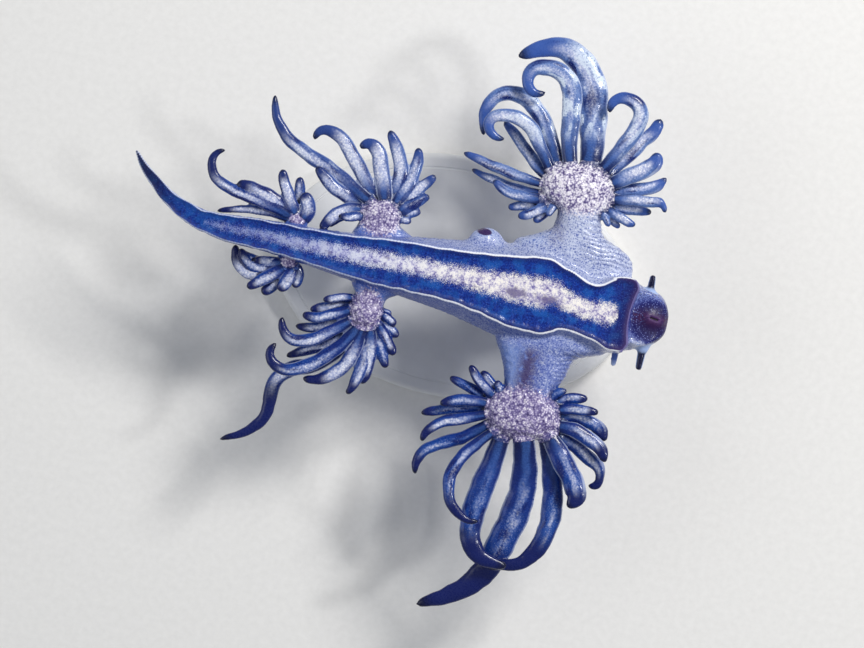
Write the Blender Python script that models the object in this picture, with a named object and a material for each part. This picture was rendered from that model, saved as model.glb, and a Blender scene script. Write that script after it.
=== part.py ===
"""Blue dragon sea slug, Glaucus atlanticus, afloat foot up, on a plain display stand.

Sizes below are millimetres and angles degrees, and every mesh is made in metres.
+X runs to the head, +Y to the animal's right and +Z up. The origin is the centre
of the stand's underside. The animal floats on its back, so its blue foot faces up.
"""

import math

import bmesh
import bpy
import numpy as np
from mathutils import Vector

MM = 0.001
GAP = 0.3

# The body from the tail's tip to the snout:
# place along X, Y of its middle, foot width, flank width, thickness, height of the sole.
BODY = (
    (-24.40, 4.05, 0.12, 0.16, 0.25, 11.70),
    (-23.60, 3.05, 0.52, 0.58, 0.45, 11.80),
    (-22.60, 2.15, 0.75, 0.82, 0.60, 11.87),
    (-21.30, 1.15, 0.95, 1.04, 0.78, 11.93),
    (-20.10, 0.55, 1.22, 1.32, 0.92, 11.96),
    (-18.50, 0.05, 1.45, 1.58, 1.12, 12.00),
    (-16.60, -0.10, 1.85, 2.00, 1.38, 12.00),
    (-14.40, -0.05, 2.05, 2.25, 1.62, 12.00),
    (-12.20, -0.10, 2.20, 2.50, 1.90, 12.00),
    (-9.90, -0.18, 2.45, 2.90, 2.20, 12.00),
    (-7.70, -0.22, 2.80, 3.40, 2.55, 12.00),
    (-5.50, -0.20, 3.20, 3.95, 2.85, 12.00),
    (-3.30, -0.12, 3.35, 4.50, 3.15, 12.00),
    (-0.40, -0.10, 3.62, 5.30, 3.50, 12.00),
    (2.25, -0.15, 4.20, 6.30, 3.95, 12.00),
    (4.50, -0.25, 5.00, 7.00, 4.30, 12.00),
    (6.30, -0.20, 5.38, 7.10, 4.40, 12.00),
    (7.80, -0.20, 4.55, 6.70, 4.35, 12.00),
    (9.30, -0.40, 3.62, 6.00, 4.15, 12.00),
    (10.50, -0.50, 3.90, 5.60, 3.90, 12.00),
    (11.60, -0.45, 4.95, 5.55, 3.65, 12.00),
    (12.35, -0.30, 5.30, 5.50, 3.45, 12.00),
    (12.70, -0.30, 4.95, 5.20, 3.40, 12.00),
    (12.90, -0.30, 4.25, 5.00, 3.25, 11.95),
    (13.08, -0.30, 3.60, 4.85, 2.85, 11.45),
    (13.80, -0.26, 3.80, 4.55, 2.70, 11.40),
    (14.60, -0.26, 3.40, 4.20, 2.50, 11.30),
    (15.00, -0.27, 3.00, 3.70, 2.30, 11.20),
    (15.35, -0.29, 2.35, 2.95, 1.95, 11.05),
    (15.64, -0.30, 1.55, 2.05, 1.45, 10.80),
    (15.82, -0.30, 0.80, 1.20, 0.80, 10.45),
)
RING_STEP = 1.1
RIM = 0.16
RIM_OF_FOOT = 0.12
RING_NUDGE = 0.05
SHARP_ANGLE = 40

# The body is divided at these places, each half a gap short of them.
BODY_PARTS = (
    ("tail_tip", -24.4, -19.2),
    ("tail_base", -19.2, -13.4),
    ("torso_rear", -13.4, -1.5),
    ("torso_front", -1.5, 11.5),
    ("head", 11.5, 15.82),
)

# Half a body section, from the middle of the sole to the middle of the back:
# share of half the foot, share of half the flank, share of the thickness, share of the rim.
SECTION = (
    (0.00, 0.00, 0.00, 0.0),
    (0.45, 0.00, 0.00, -0.1),
    (0.80, 0.00, 0.00, -0.4),
    (0.94, 0.00, 0.00, 1.0),
    (1.03, 0.00, 0.00, 0.6),
    (0.60, 0.40, -0.10, 0.0),
    (0.00, 1.00, -0.42, 0.0),
    (0.00, 0.92, -0.66, 0.0),
    (0.00, 0.66, -0.86, 0.0),
    (0.00, 0.34, -0.97, 0.0),
    (0.00, 0.00, -1.00, 0.0),
)

# Each limb from inside the body out to the end of its pad:
# distance out along Y, X of its middle, height, half its width, half its thickness.
LIMB_FRONT_LEFT = (
    (1.50, 7.80, 10.00, 4.50, 1.50),
    (3.30, 7.70, 10.10, 4.10, 1.45),
    (4.25, 6.90, 10.15, 2.85, 1.35),
    (5.70, 7.05, 10.25, 2.27, 1.20),
    (7.10, 6.95, 10.35, 1.85, 1.10),
    (8.00, 6.90, 10.40, 2.50, 1.10),
    (8.90, 6.84, 10.40, 2.65, 1.10),
    (9.90, 6.84, 10.35, 2.20, 0.95),
    (10.64, 6.84, 10.25, 1.00, 0.45),
)
LIMB_FRONT_RIGHT = (
    (1.50, 8.00, 10.00, 4.50, 1.50),
    (3.40, 8.00, 10.10, 4.30, 1.45),
    (4.20, 8.40, 10.15, 3.25, 1.35),
    (5.00, 8.10, 10.20, 1.85, 1.25),
    (6.20, 7.90, 10.30, 1.60, 1.15),
    (7.10, 7.45, 10.40, 2.45, 1.10),
    (8.00, 7.32, 10.40, 2.60, 1.10),
    (8.90, 7.32, 10.35, 2.15, 0.95),
    (9.64, 7.32, 10.25, 1.00, 0.45),
)
LIMB_MID_LEFT = (
    (1.00, -5.30, 10.30, 2.20, 1.10),
    (2.00, -5.35, 10.35, 1.90, 1.00),
    (2.90, -5.70, 10.40, 1.15, 0.90),
    (3.80, -5.77, 10.40, 1.15, 0.90),
    (4.60, -5.77, 10.35, 1.00, 0.80),
    (5.26, -5.77, 10.25, 0.45, 0.35),
)
LIMB_MID_RIGHT = (
    (1.00, -5.60, 10.30, 2.50, 1.10),
    (1.90, -5.60, 10.35, 2.20, 1.00),
    (2.70, -6.10, 10.40, 1.45, 0.90),
    (3.30, -6.16, 10.40, 1.40, 0.90),
    (3.80, -6.16, 10.35, 1.10, 0.80),
    (4.20, -6.16, 10.25, 0.55, 0.40),
)
LIMB_REAR_LEFT = (
    (0.50, -12.00, 10.80, 1.00, 0.60),
    (1.30, -12.00, 10.70, 0.80, 0.60),
    (1.75, -12.00, 10.60, 0.62, 0.50),
    (2.10, -12.00, 10.50, 0.30, 0.25),
)
LIMB_REAR_RIGHT = LIMB_REAR_LEFT
LIMB_STEP = 0.7
LIMB_SIDES = 16
LIMB_SQUARENESS = 2.3

# Each ceras of a fan, in turn round its pad:
# X and Y of its root, length, width, how far its tip lies over its root,
# and its heading at equal steps from root to tip.
CERATA_FRONT_LEFT = (
    (5.2, -7.7, 1.1, 0.65, 0.2, (130, 130)),
    (5.0, -7.8, 2.2, 0.80, -0.2, (140, 140)),
    (4.6, -8.0, 2.9, 0.80, 0.1, (150, 130)),
    (4.3, -8.3, 3.3, 0.80, -0.3, (160, 165)),
    (4.2, -8.6, 3.5, 0.90, 0.1, (175, 210)),
    (4.2, -8.9, 4.8, 0.90, -0.4, (190, 205)),
    (4.3, -9.4, 5.4, 0.90, 0.1, (205, 200, 200, 225, 270)),
    (4.5, -10.1, 6.9, 1.00, -0.6, (225, 220, 205, 210, 245, 300)),
    (5.0, -10.6, 9.0, 1.00, 0.7, (225, 230, 240, 265, 295, 330, 380)),
    (5.7, -11.0, 11.2, 1.85, -0.5, (265, 260, 260, 265, 285, 340, 375)),
    (7.32, -10.6, 16.0, 2.20, -2.5, (290, 280, 265, 255, 255, 230, 210, 205)),
    (8.95, -10.3, 12.2, 1.60, -1.3, (295, 290, 285, 275, 260, 240, 200, 190)),
    (9.2, -10.1, 5.6, 1.65, 0.2, (310, 310, 310, 305, 285, 195)),
    (9.5, -9.7, 5.9, 1.05, -0.8, (335, 340, 330, 325, 275, 160)),
    (9.6, -9.2, 4.4, 1.15, 0.1, (370, 345, 325, 290)),
    (9.5, -8.5, 4.0, 1.10, -0.4, (20, 0, -25, -85)),
    (9.4, -8.0, 2.8, 0.85, 0.2, (20, -5)),
    (9.1, -7.6, 2.4, 0.85, -0.2, (40, 0)),
    (8.7, -7.4, 1.4, 0.65, 0.2, (80, 0)),
)
CERATA_FRONT_RIGHT = (
    (6.0, 6.5, 1.0, 0.60, 0.2, (250, 250)),
    (5.8, 6.2, 1.6, 0.75, -0.1, (230, 230)),
    (5.5, 6.3, 2.3, 0.80, 0.2, (220, 205)),
    (5.1, 6.4, 2.5, 0.80, -0.2, (200, 195)),
    (4.9, 6.7, 3.8, 0.85, 0.1, (190, 175, 140)),
    (4.8, 7.1, 5.3, 0.75, -0.4, (185, 170, 165)),
    (4.7, 7.8, 6.1, 0.85, 0.1, (175, 170, 165)),
    (4.9, 8.4, 5.0, 0.95, -0.6, (140, 135, 145)),
    (5.1, 9.0, 8.7, 1.10, 0.6, (125, 125, 130, 170, 195, 300, 385)),
    (5.6, 9.5, 10.8, 1.30, -0.8, (115, 120, 130, 155, 210, 265, 295)),
    (6.5, 9.7, 11.8, 1.50, 0.4, (110, 100, 95, 105, 155, 200, 295, 405)),
    (7.95, 10.0, 12.7, 2.20, -1.2, (95, 100, 100, 120, 155, 205, 215)),
    (8.9, 9.7, 8.5, 1.25, 0.4, (60, 60, 65, 75, 140, 205, 290)),
    (9.3, 9.4, 5.7, 1.10, -0.6, (55, 55, 55, 80)),
    (9.7, 8.8, 4.2, 1.25, 0.1, (35, 35, 35, 50, 135)),
    (9.9, 8.2, 4.1, 1.00, -0.4, (20, 20, 25, 65)),
    (10.1, 7.7, 4.2, 0.85, 0.2, (10, 10, 10, -70)),
    (10.0, 7.2, 2.8, 0.80, -0.3, (0, 10)),
    (9.8, 6.9, 2.3, 0.75, 0.1, (-20, -15)),
    (9.6, 6.8, 1.7, 0.60, -0.1, (-40, -30)),
    (9.5, 6.7, 1.2, 0.55, 0.2, (-55, -50)),
)
CERATA_MID_LEFT = (
    (-6.9, -3.1, 2.2, 0.65, 0.1, (190, 205)),
    (-6.9, -3.5, 3.1, 0.90, -0.2, (200, 205)),
    (-6.9, -4.0, 3.6, 0.90, 0.1, (210, 205, 170)),
    (-6.8, -4.4, 4.2, 0.85, -0.3, (215, 210, 175)),
    (-6.7, -4.8, 6.5, 1.00, 0.5, (220, 220, 215, 195, 140, 80)),
    (-6.4, -5.1, 5.5, 0.95, -0.5, (235, 220, 205, 215)),
    (-6.1, -5.2, 9.0, 1.10, 0.3, (240, 235, 225, 215, 195, 130, 35)),
    (-6.2, -5.3, 13.9, 1.20, -2.2, (250, 235, 220, 195, 240, 280, 240, 210, 205)),
    (-5.8, -5.2, 6.3, 1.10, -0.3, (265, 260, 235, 210, 175)),
    (-5.5, -5.2, 5.0, 0.95, 0.1, (280, 275, 260, 240)),
    (-5.2, -5.1, 4.1, 1.05, -0.5, (285, 275, 255)),
    (-4.9, -5.0, 3.0, 0.90, 0.0, (300, 295)),
    (-4.7, -4.7, 2.5, 0.85, -0.3, (315, 305)),
    (-4.6, -4.3, 1.8, 0.75, 0.0, (330, 325)),
    (-4.6, -3.9, 1.3, 0.65, -0.1, (350, 315)),
    (-4.6, -3.6, 0.7, 0.50, 0.1, (350, 350)),
)
CERATA_MID_RIGHT = (
    (-7.4, 2.9, 1.7, 0.65, 0.5, (215, 195, 185)),
    (-7.5, 3.1, 2.8, 0.80, -0.2, (195, 210, 245)),
    (-7.6, 3.3, 3.5, 1.00, 0.2, (185, 220, 250)),
    (-7.6, 3.7, 4.4, 1.10, 0.3, (175, 160, 145, 135)),
    (-7.2, 4.0, 10.9, 1.15, -1.0, (155, 150, 160, 155, 125, 95)),
    (-6.6, 4.1, 7.8, 1.15, 0.2, (135, 130, 130, 130, 140, 185, 280)),
    (-6.0, 4.2, 5.3, 1.25, -0.4, (110, 110, 110, 110, 150, 275)),
    (-5.6, 4.2, 5.5, 1.15, 0.2, (75, 85, 105, 125, 120)),
    (-5.3, 4.1, 4.6, 1.05, -0.4, (65, 70, 85, 105)),
    (-5.0, 3.9, 3.6, 0.90, 0.1, (60, 50, 55)),
    (-4.9, 3.6, 2.5, 0.85, -0.2, (45, 35)),
    (-4.8, 3.3, 1.6, 0.70, 0.1, (30, 25)),
    (-4.8, 3.1, 0.9, 0.55, -0.1, (0, 0)),
)
CERATA_REAR_LEFT = (
    (-12.2, -1.9, 5.2, 1.05, -0.8, (225, 215, 185, 160, 115, 95)),
    (-12.4, -1.8, 3.8, 0.90, 0.0, (215, 200, 180, 135, 120)),
    (-12.4, -1.7, 3.2, 0.80, -0.5, (200, 190, 165, 140)),
    (-12.4, -1.6, 2.1, 0.70, 0.2, (190, 190)),
    (-12.2, -2.0, 3.1, 0.95, 0.0, (225, 215)),
    (-11.9, -2.0, 2.7, 1.05, -0.3, (245, 225)),
    (-11.6, -1.9, 2.0, 1.00, 0.1, (265, 235)),
    (-11.4, -1.7, 1.7, 0.90, -0.2, (305, 245)),
)
CERATA_REAR_RIGHT = (
    (-12.5, 1.7, 8.8, 0.95, -0.2, (165, 165, 170, 170, 150, 95, 10)),
    (-12.3, 1.8, 4.8, 1.15, 0.3, (150, 160, 180)),
    (-12.1, 1.9, 3.5, 0.95, -0.1, (130, 120, 110)),
    (-12.0, 2.0, 2.7, 0.90, -0.4, (100, 100)),
    (-11.6, 1.6, 2.2, 1.15, 0.0, (55, 85, 125, 130)),
    (-12.5, 1.6, 3.3, 0.85, -0.5, (175, 170)),
    (-12.5, 1.4, 5.5, 0.65, -0.9, (165, 180, 190, 205)),
)

# Side, limb, where arm and fan part along Y, cerata. A rear fan is seated on the flank.
LIMBS = {
    "front_left": (-1, LIMB_FRONT_LEFT, 7.15, CERATA_FRONT_LEFT),
    "front_right": (1, LIMB_FRONT_RIGHT, 6.25, CERATA_FRONT_RIGHT),
    "mid_left": (-1, LIMB_MID_LEFT, 2.95, CERATA_MID_LEFT),
    "mid_right": (1, LIMB_MID_RIGHT, 2.75, CERATA_MID_RIGHT),
    "rear_left": (-1, LIMB_REAR_LEFT, None, CERATA_REAR_LEFT),
    "rear_right": (1, LIMB_REAR_RIGHT, None, CERATA_REAR_RIGHT),
}

# A ceras is a flattened tube. Share of its length, then share of its full width,
# for the shortest and for the longest.
CERAS_SHORT_TAPER = (
    (0.00, 0.75),
    (0.12, 0.90),
    (0.40, 1.00),
    (0.75, 0.92),
    (0.90, 0.70),
    (1.00, 0.40),
)
CERAS_LONG_TAPER = (
    (0.00, 0.72),
    (0.12, 0.85),
    (0.40, 1.00),
    (0.70, 0.80),
    (0.90, 0.50),
    (1.00, 0.30),
)
CERAS_SHORT = 3.0
CERAS_LONG = 12.0
CERAS_STAGGER = 0.18
CERAS_THICKNESS = 0.36
CERAS_THICKNESS_BY_WIDTH = 0.22
CERAS_SIDES = 6
CERAS_SUNK = 0.55
CERAS_LAST_RING = 0.95
CERAS_TURN_A_STEP = 38
CERAS_FEWEST_STEPS = 4
CERAS_MOST_STEPS = 10

# Head: X, Y and height of each feeler's root and tip, with its width.
FEELERS = {
    "oral_tentacle_left": ((14.40, -1.00, 10.40), (14.40, -4.00, 10.70), 0.60),
    "oral_tentacle_right": ((14.10, 0.80, 10.40), (14.05, 3.00, 10.70), 0.60),
    "rhinophore_left": ((12.40, -1.60, 9.90), (12.42, -4.15, 9.10), 0.60),
    "rhinophore_right": ((13.15, 0.60, 9.80), (13.20, 2.10, 7.20), 0.60),
}
FEELER_STEPS = 5
FEELER_SIDES = 8
FEELER_TAPER = 0.45
HEAD_ROOM_START = 10.0

# The mouth: a slit along the body between two low lips.
MOUTH_MIDDLE = (14.65, -0.12)
LIPS_SIZE = (1.70, 1.10, 0.56)
LIPS_HEIGHT = 11.26
SLIT_SIZE = (1.15, 0.22, 0.80)
SLIT_RISE = 0.2

PAPILLA_MIDDLE = (1.75, 2.35, 10.40)
PAPILLA_RADII = (1.50, 1.60, 0.90)
PAPILLA_ROOM = (-4.0, 8.0)
BALL_SEGMENTS = 20
BALL_RINGS = 12

# The stand: an oval base and two rods up to the animal's back.
BASE_LENGTH = 27.0
BASE_WIDTH = 18.0
BASE_THICKNESS = 2.0
BASE_BEVEL = 0.3
BASE_SIDES = 64
ROD_RADIUS = 0.75
ROD_SIDES = 16
RODS = {"stand_rod_front": (6.0, -0.2), "stand_rod_rear": (-5.0, -0.2)}
ROD_TOP = 11.0
ROD_ROOM = 3.0

# Colour, roughness and metallic value of each material.
LOOKS = {
    "foot": ((0.03, 0.08, 0.42, 1.0), 0.30, 0.0),
    "skin": ((0.36, 0.42, 0.66, 1.0), 0.35, 0.0),
    "head": ((0.09, 0.06, 0.20, 1.0), 0.30, 0.0),
    "cerata": ((0.12, 0.18, 0.52, 1.0), 0.32, 0.0),
    "feeler": ((0.07, 0.10, 0.34, 1.0), 0.30, 0.0),
    "base": ((0.80, 0.81, 0.82, 1.0), 0.40, 0.0),
    "rod": ((0.62, 0.63, 0.65, 1.0), 0.25, 1.0),
}


def follow(stations, at):
    """The values of a table of stations at one place, on curves that never overshoot."""
    table = np.array(stations, float)
    places, values = table[:, 0], table[:, 1:]
    steps = np.diff(places)
    rises = np.diff(values, axis=0) / steps[:, None]
    slopes = np.zeros_like(values)
    product = rises[:-1] * rises[1:]
    total = rises[:-1] + rises[1:]
    same = product > 0
    slopes[1:-1][same] = 2 * product[same] / total[same]
    slopes[0], slopes[-1] = rises[0], rises[-1]
    k = int(np.clip(np.searchsorted(places, at) - 1, 0, len(steps) - 1))
    t = (at - places[k]) / steps[k]
    start = (1 + 2 * t) * (1 - t) ** 2 * values[k] + t**2 * (3 - 2 * t) * values[k + 1]
    turn = t * (1 - t) ** 2 * slopes[k] - t**2 * (1 - t) * slopes[k + 1]
    return start + turn * steps[k]


def pushed_out(outline, grow):
    """A closed outline with each corner moved outwards; it runs anticlockwise."""
    moved = []
    for i, (u, v) in enumerate(outline):
        before, after = outline[i - 1], outline[(i + 1) % len(outline)]
        du, dv = after[0] - before[0], after[1] - before[1]
        length = math.hypot(du, dv)
        moved.append((u + grow * dv / length, v - grow * du / length))
    return moved


def body_outline(foot, flank, thickness):
    """A body section across, with the sole at height 0, anticlockwise seen from the head."""
    rim = min(RIM, RIM_OF_FOOT * foot)
    half = [
        (a * foot / 2 + b * flank / 2, c * thickness + d * rim) for a, b, c, d in SECTION
    ]
    left = [(-u, v) for u, v in half]
    return left[:-1] + half[:0:-1]


def body_ring(x, grow=0.0):
    """The body's section at a place along X, square to its middle line."""
    middle, foot, flank, thickness, sole = follow(BODY, x)
    low, high = max(x - RING_NUDGE, BODY[0][0]), min(x + RING_NUDGE, BODY[-1][0])
    slope = (follow(BODY, high)[0] - follow(BODY, low)[0]) / (high - low)
    across = Vector((-slope, 1.0, 0.0)).normalized()
    outline = body_outline(foot, flank, thickness)
    if grow:
        outline = pushed_out(outline, grow)
    centre = Vector((x, middle, sole))
    return [centre + across * u + Vector((0, 0, v)) for u, v in outline]


def ring_places(start, end):
    """Every station of the body between two places, with even steps between them."""
    inside = [row[0] for row in BODY if start + GAP < row[0] < end - GAP]
    places = [start]
    for stop in inside + [end]:
        steps = math.ceil((stop - places[-1]) / RING_STEP)
        first = places[-1]
        places += [first + (stop - first) * (i + 1) / steps for i in range(steps)]
    return places


def limb_ring(stations, side, out, grow=0.0):
    """A limb's section at a distance from the body's middle, a rounded oval."""
    x, height, half_width, half_thickness = follow(stations, out)
    power = 2 / LIMB_SQUARENESS
    ring = []
    for i in range(LIMB_SIDES):
        angle = math.tau * i / LIMB_SIDES
        c, s = math.cos(angle), math.sin(angle)
        u = math.copysign(abs(c) ** power, c) * (half_width + grow)
        v = math.copysign(abs(s) ** power, s) * (half_thickness + grow)
        ring.append(Vector((x + u, side * out, height + v)))
    return ring


def loft(name, rings, material=None, tip=None):
    """A closed skin over rings of points, with flat ends, or a pointed last end."""
    bm = bmesh.new()
    rows = [[bm.verts.new(point * MM) for point in ring] for ring in rings]
    for row, following in zip(rows, rows[1:]):
        for i in range(len(row)):
            j = (i + 1) % len(row)
            bm.faces.new((row[i], row[j], following[j], following[i]))
    bm.faces.new(rows[0])
    if tip is None:
        bm.faces.new(rows[-1])
    else:
        end = bm.verts.new(tip * MM)
        for i in range(len(rows[-1])):
            bm.faces.new((rows[-1][i], rows[-1][(i + 1) % len(rows[-1])], end))
    return finished(name, bm, material)


def finished(name, bm, material=None):
    """An object made of a bmesh, with its faces pointing out."""
    bmesh.ops.recalc_face_normals(bm, faces=bm.faces)
    mesh = bpy.data.meshes.new(name)
    bm.to_mesh(mesh)
    bm.free()
    piece = bpy.data.objects.new(name, mesh)
    bpy.context.scene.collection.objects.link(piece)
    if material:
        mesh.materials.append(material)
        mesh.shade_smooth()
        mesh.set_sharp_from_angle(angle=math.radians(SHARP_ANGLE))
    return piece


def material_of(name):
    """A material with its own colour, roughness and metallic value."""
    colour, roughness, metallic = LOOKS[name]
    material = bpy.data.materials.new(name)
    material.use_nodes = True
    shader = material.node_tree.nodes["Principled BSDF"]
    shader.inputs["Base Color"].default_value = colour
    shader.inputs["Roughness"].default_value = roughness
    shader.inputs["Metallic"].default_value = metallic
    material.diffuse_color = colour
    return material


def ellipsoid(name, middle, radii, material=None):
    """A ball of three radii."""
    bm = bmesh.new()
    bmesh.ops.create_uvsphere(bm, u_segments=BALL_SEGMENTS, v_segments=BALL_RINGS, radius=1.0)
    for vertex in bm.verts:
        vertex.co = Vector([(m + r * c) * MM for m, r, c in zip(middle, radii, vertex.co)])
    return finished(name, bm, material)


def combine(target, others, operation):
    """Joins or cuts the target with other closed pieces, and removes those."""
    pieces = bpy.data.collections.new("pieces")
    bpy.context.scene.collection.children.link(pieces)
    for other in others:
        bpy.context.scene.collection.objects.unlink(other)
        pieces.objects.link(other)
    modifier = target.modifiers.new(operation.title(), "BOOLEAN")
    modifier.operation = operation
    modifier.operand_type = "COLLECTION"
    modifier.collection = pieces
    modifier.solver = "EXACT"
    apply_modifiers(target)
    for other in others:
        bpy.data.objects.remove(other)
    bpy.data.collections.remove(pieces)
    keep_largest(target)


def apply_modifiers(target):
    """Replaces the mesh by what its modifiers make of it."""
    graph = bpy.context.evaluated_depsgraph_get()
    mesh = bpy.data.meshes.new_from_object(target.evaluated_get(graph))
    target.modifiers.clear()
    target.data = mesh


def keep_largest(target):
    """Drops all but the largest closed surface of an object."""
    bm = bmesh.new()
    bm.from_mesh(target.data)
    unseen = set(bm.verts)
    groups = []
    while unseen:
        group, edge = set(), [unseen.pop()]
        while edge:
            vertex = edge.pop()
            group.add(vertex)
            near = {e.other_vert(vertex) for e in vertex.link_edges} & unseen
            unseen -= near
            edge += near
        groups.append(group)
    largest = max(groups, key=len)
    strays = [vertex for vertex in bm.verts if vertex not in largest]
    bmesh.ops.delete(bm, geom=strays, context="VERTS")
    bm.to_mesh(target.data)
    bm.free()


def body_part(name, start, end, material, grow=0.0):
    """A length of the body between two places."""
    rings = [body_ring(x, grow) for x in ring_places(start, end)]
    return loft(name, rings, material)


def grown_body(start, end):
    """A length of the body fattened by the gap, to cut what meets it."""
    return body_part("body_room", max(start, BODY[0][0]), min(end, BODY[-1][0]), None, GAP)


def limb_part(name, side, stations, start, end, material=None, grow=0.0):
    """A length of a limb between two distances from the body's middle."""
    steps = max(2, math.ceil((end - start) / LIMB_STEP))
    places = [start + (end - start) * i / steps for i in range(steps + 1)]
    return loft(name, [limb_ring(stations, side, out, grow) for out in places], material)


def path_of(root, length, headings, lift, places):
    """Points and headings at some shares of a ceras's length, from its root to its tip."""
    fine = 200
    shares = (np.arange(fine) + 0.5) / fine
    turns = np.radians(np.interp(shares, np.linspace(0, 1, len(headings)), headings))
    along = np.concatenate([[0.0], shares + 0.5 / fine])
    x = np.concatenate([[0.0], np.cumsum(np.cos(turns))]) * length / fine
    y = np.concatenate([[0.0], np.cumsum(np.sin(turns))]) * length / fine
    found = []
    for place in places:
        rise = lift * place * (2 - place)
        offset = Vector((np.interp(place, along, x), np.interp(place, along, y), rise))
        turn = math.radians(np.interp(place, np.linspace(0, 1, len(headings)), headings))
        found.append((Vector(root) + offset, turn))
    return found


def width_share(length, place):
    """The share of a ceras's full width at a place along it."""
    long = min(max((length - CERAS_SHORT) / (CERAS_LONG - CERAS_SHORT), 0.0), 1.0)
    short_one, long_one = follow(CERAS_SHORT_TAPER, place)[0], follow(CERAS_LONG_TAPER, place)[0]
    return short_one + (long_one - short_one) * long


def ceras(row, height, inward):
    """One tapered, flattened ceras, with its root sunk towards the pad's middle."""
    x, y, length, width, lift, headings = row
    turning = sum(abs(b - a) for a, b in zip(headings, headings[1:]))
    steps = round(CERAS_FEWEST_STEPS + turning / CERAS_TURN_A_STEP)
    steps = min(steps, CERAS_MOST_STEPS)
    places = [CERAS_LAST_RING * i / steps for i in range(steps + 1)]
    path = path_of((x, y, height), length, headings, lift, places + [1.0])
    start = path[0][0] + (inward - path[0][0]).normalized() * CERAS_SUNK
    rings = []
    for place, (centre, turn) in zip([0.0] + places, [(start, path[0][1])] + path[:-1]):
        share = width_share(length, place)
        half_width = width / 2 * share
        thickness = CERAS_THICKNESS + CERAS_THICKNESS_BY_WIDTH * width
        half_thickness = thickness / 2 * share**0.5
        across = Vector((-math.sin(turn), math.cos(turn), 0))
        ring = []
        for i in range(CERAS_SIDES):
            angle = math.tau * i / CERAS_SIDES
            side, rise = math.cos(angle) * half_width, math.sin(angle) * half_thickness
            ring.append(centre + across * side + Vector((0, 0, rise)))
        rings.append(ring)
    return loft("ceras", rings, tip=path[-1][0])


def fan(name, side, stations, parting, cerata, material):
    """A pad with its cerata, cut clear of the arm and the body."""
    start = stations[0][0] if parting is None else parting - 2 * GAP
    pad = limb_part(name, side, stations, start, stations[-1][0], material)
    out, x, height = stations[-3][:3]
    inward = Vector((x, side * out, height))
    heights = [height + CERAS_STAGGER * (-1) ** i for i in range(len(cerata))]
    pieces = [ceras(row, level, inward) for row, level in zip(cerata, heights)]
    combine(pad, pieces, "UNION")
    combine(pad, [grown_body(BODY[0][0], BODY[-1][0])], "DIFFERENCE")
    if parting is not None:
        room = limb_part("room", side, stations, stations[0][0], parting + GAP / 2, None, GAP)
        combine(pad, [room], "DIFFERENCE")
    return pad


def arm(name, side, stations, parting, material):
    """An arm from the body's flank to its pad."""
    piece = limb_part(name, side, stations, stations[0][0], parting - GAP / 2, material)
    combine(piece, [grown_body(BODY[0][0], BODY[-1][0])], "DIFFERENCE")
    return piece


def feeler(name, root, tip, width, material):
    """A tapered feeler that starts inside the head and is cut clear of it."""
    start, end = Vector(root), Vector(tip)
    along = (end - start).normalized()
    across = along.cross(Vector((0, 0, 1))).normalized()
    up = across.cross(along)
    rings = []
    for i in range(FEELER_STEPS):
        share = i / FEELER_STEPS
        radius = width / 2 * (1.0 - FEELER_TAPER * share**2)
        centre = start.lerp(end, share)
        rings.append(
            [
                centre + (across * math.cos(a) + up * math.sin(a)) * radius
                for a in [math.tau * k / FEELER_SIDES for k in range(FEELER_SIDES)]
            ]
        )
    piece = loft(name, rings, material, tip=end)
    combine(piece, [grown_body(HEAD_ROOM_START, BODY[-1][0])], "DIFFERENCE")
    return piece


def shape_mouth(head):
    """Raises two lips on the head and cuts the slit between them."""
    x, y = MOUTH_MIDDLE
    lips = ellipsoid("lips", (x, y, LIPS_HEIGHT), [s / 2 for s in LIPS_SIZE])
    combine(head, [lips], "UNION")
    slit = ellipsoid("slit", (x, y, LIPS_HEIGHT + SLIT_RISE), [s / 2 for s in SLIT_SIZE])
    combine(head, [slit], "DIFFERENCE")


def make_stand(base_look, rod_look):
    """An oval base with a bevelled edge, and two rods cut clear of the back."""
    levels = (
        (0.0, BASE_BEVEL),
        (BASE_BEVEL, 0.0),
        (BASE_THICKNESS - BASE_BEVEL, 0.0),
        (BASE_THICKNESS, BASE_BEVEL),
    )
    rings = []
    for height, inset in levels:
        ring = []
        for i in range(BASE_SIDES):
            angle = math.tau * i / BASE_SIDES
            x = (BASE_LENGTH / 2 - inset) * math.cos(angle)
            y = (BASE_WIDTH / 2 - inset) * math.sin(angle)
            ring.append(Vector((x, y, height)))
        rings.append(ring)
    loft("stand_base", rings, base_look)
    for name, (x, y) in RODS.items():
        rings = []
        for height in (BASE_THICKNESS + GAP, ROD_TOP):
            angles = [math.tau * i / ROD_SIDES for i in range(ROD_SIDES)]
            rings.append(
                [
                    Vector((x + ROD_RADIUS * math.cos(a), y + ROD_RADIUS * math.sin(a), height))
                    for a in angles
                ]
            )
        rod = loft(name, rings, rod_look)
        combine(rod, [grown_body(x - ROD_ROOM, x + ROD_ROOM)], "DIFFERENCE")


def clear_scene():
    """Removes whatever the scene holds."""
    for old in list(bpy.data.objects):
        bpy.data.objects.remove(old)


def main():
    """Makes every piece of the animal and its stand."""
    clear_scene()
    looks = {name: material_of(name) for name in LOOKS}
    for name, start, end in BODY_PARTS:
        first = start if start == BODY[0][0] else start + GAP / 2
        last = end if end == BODY[-1][0] else end - GAP / 2
        look = looks["head"] if name == "head" else looks["foot"]
        piece = body_part(name, first, last, look)
        if name == "head":
            shape_mouth(piece)
    for place, (side, stations, parting, cerata) in LIMBS.items():
        if parting is not None:
            arm(f"arm_{place}", side, stations, parting, looks["skin"])
        fan(f"cerata_{place}", side, stations, parting, cerata, looks["cerata"])
    for name, (root, tip, width) in FEELERS.items():
        feeler(name, root, tip, width, looks["feeler"])
    papilla = ellipsoid("genital_papilla", PAPILLA_MIDDLE, PAPILLA_RADII, looks["skin"])
    combine(papilla, [grown_body(*PAPILLA_ROOM)], "DIFFERENCE")
    make_stand(looks["base"], looks["rod"])


main()
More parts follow.
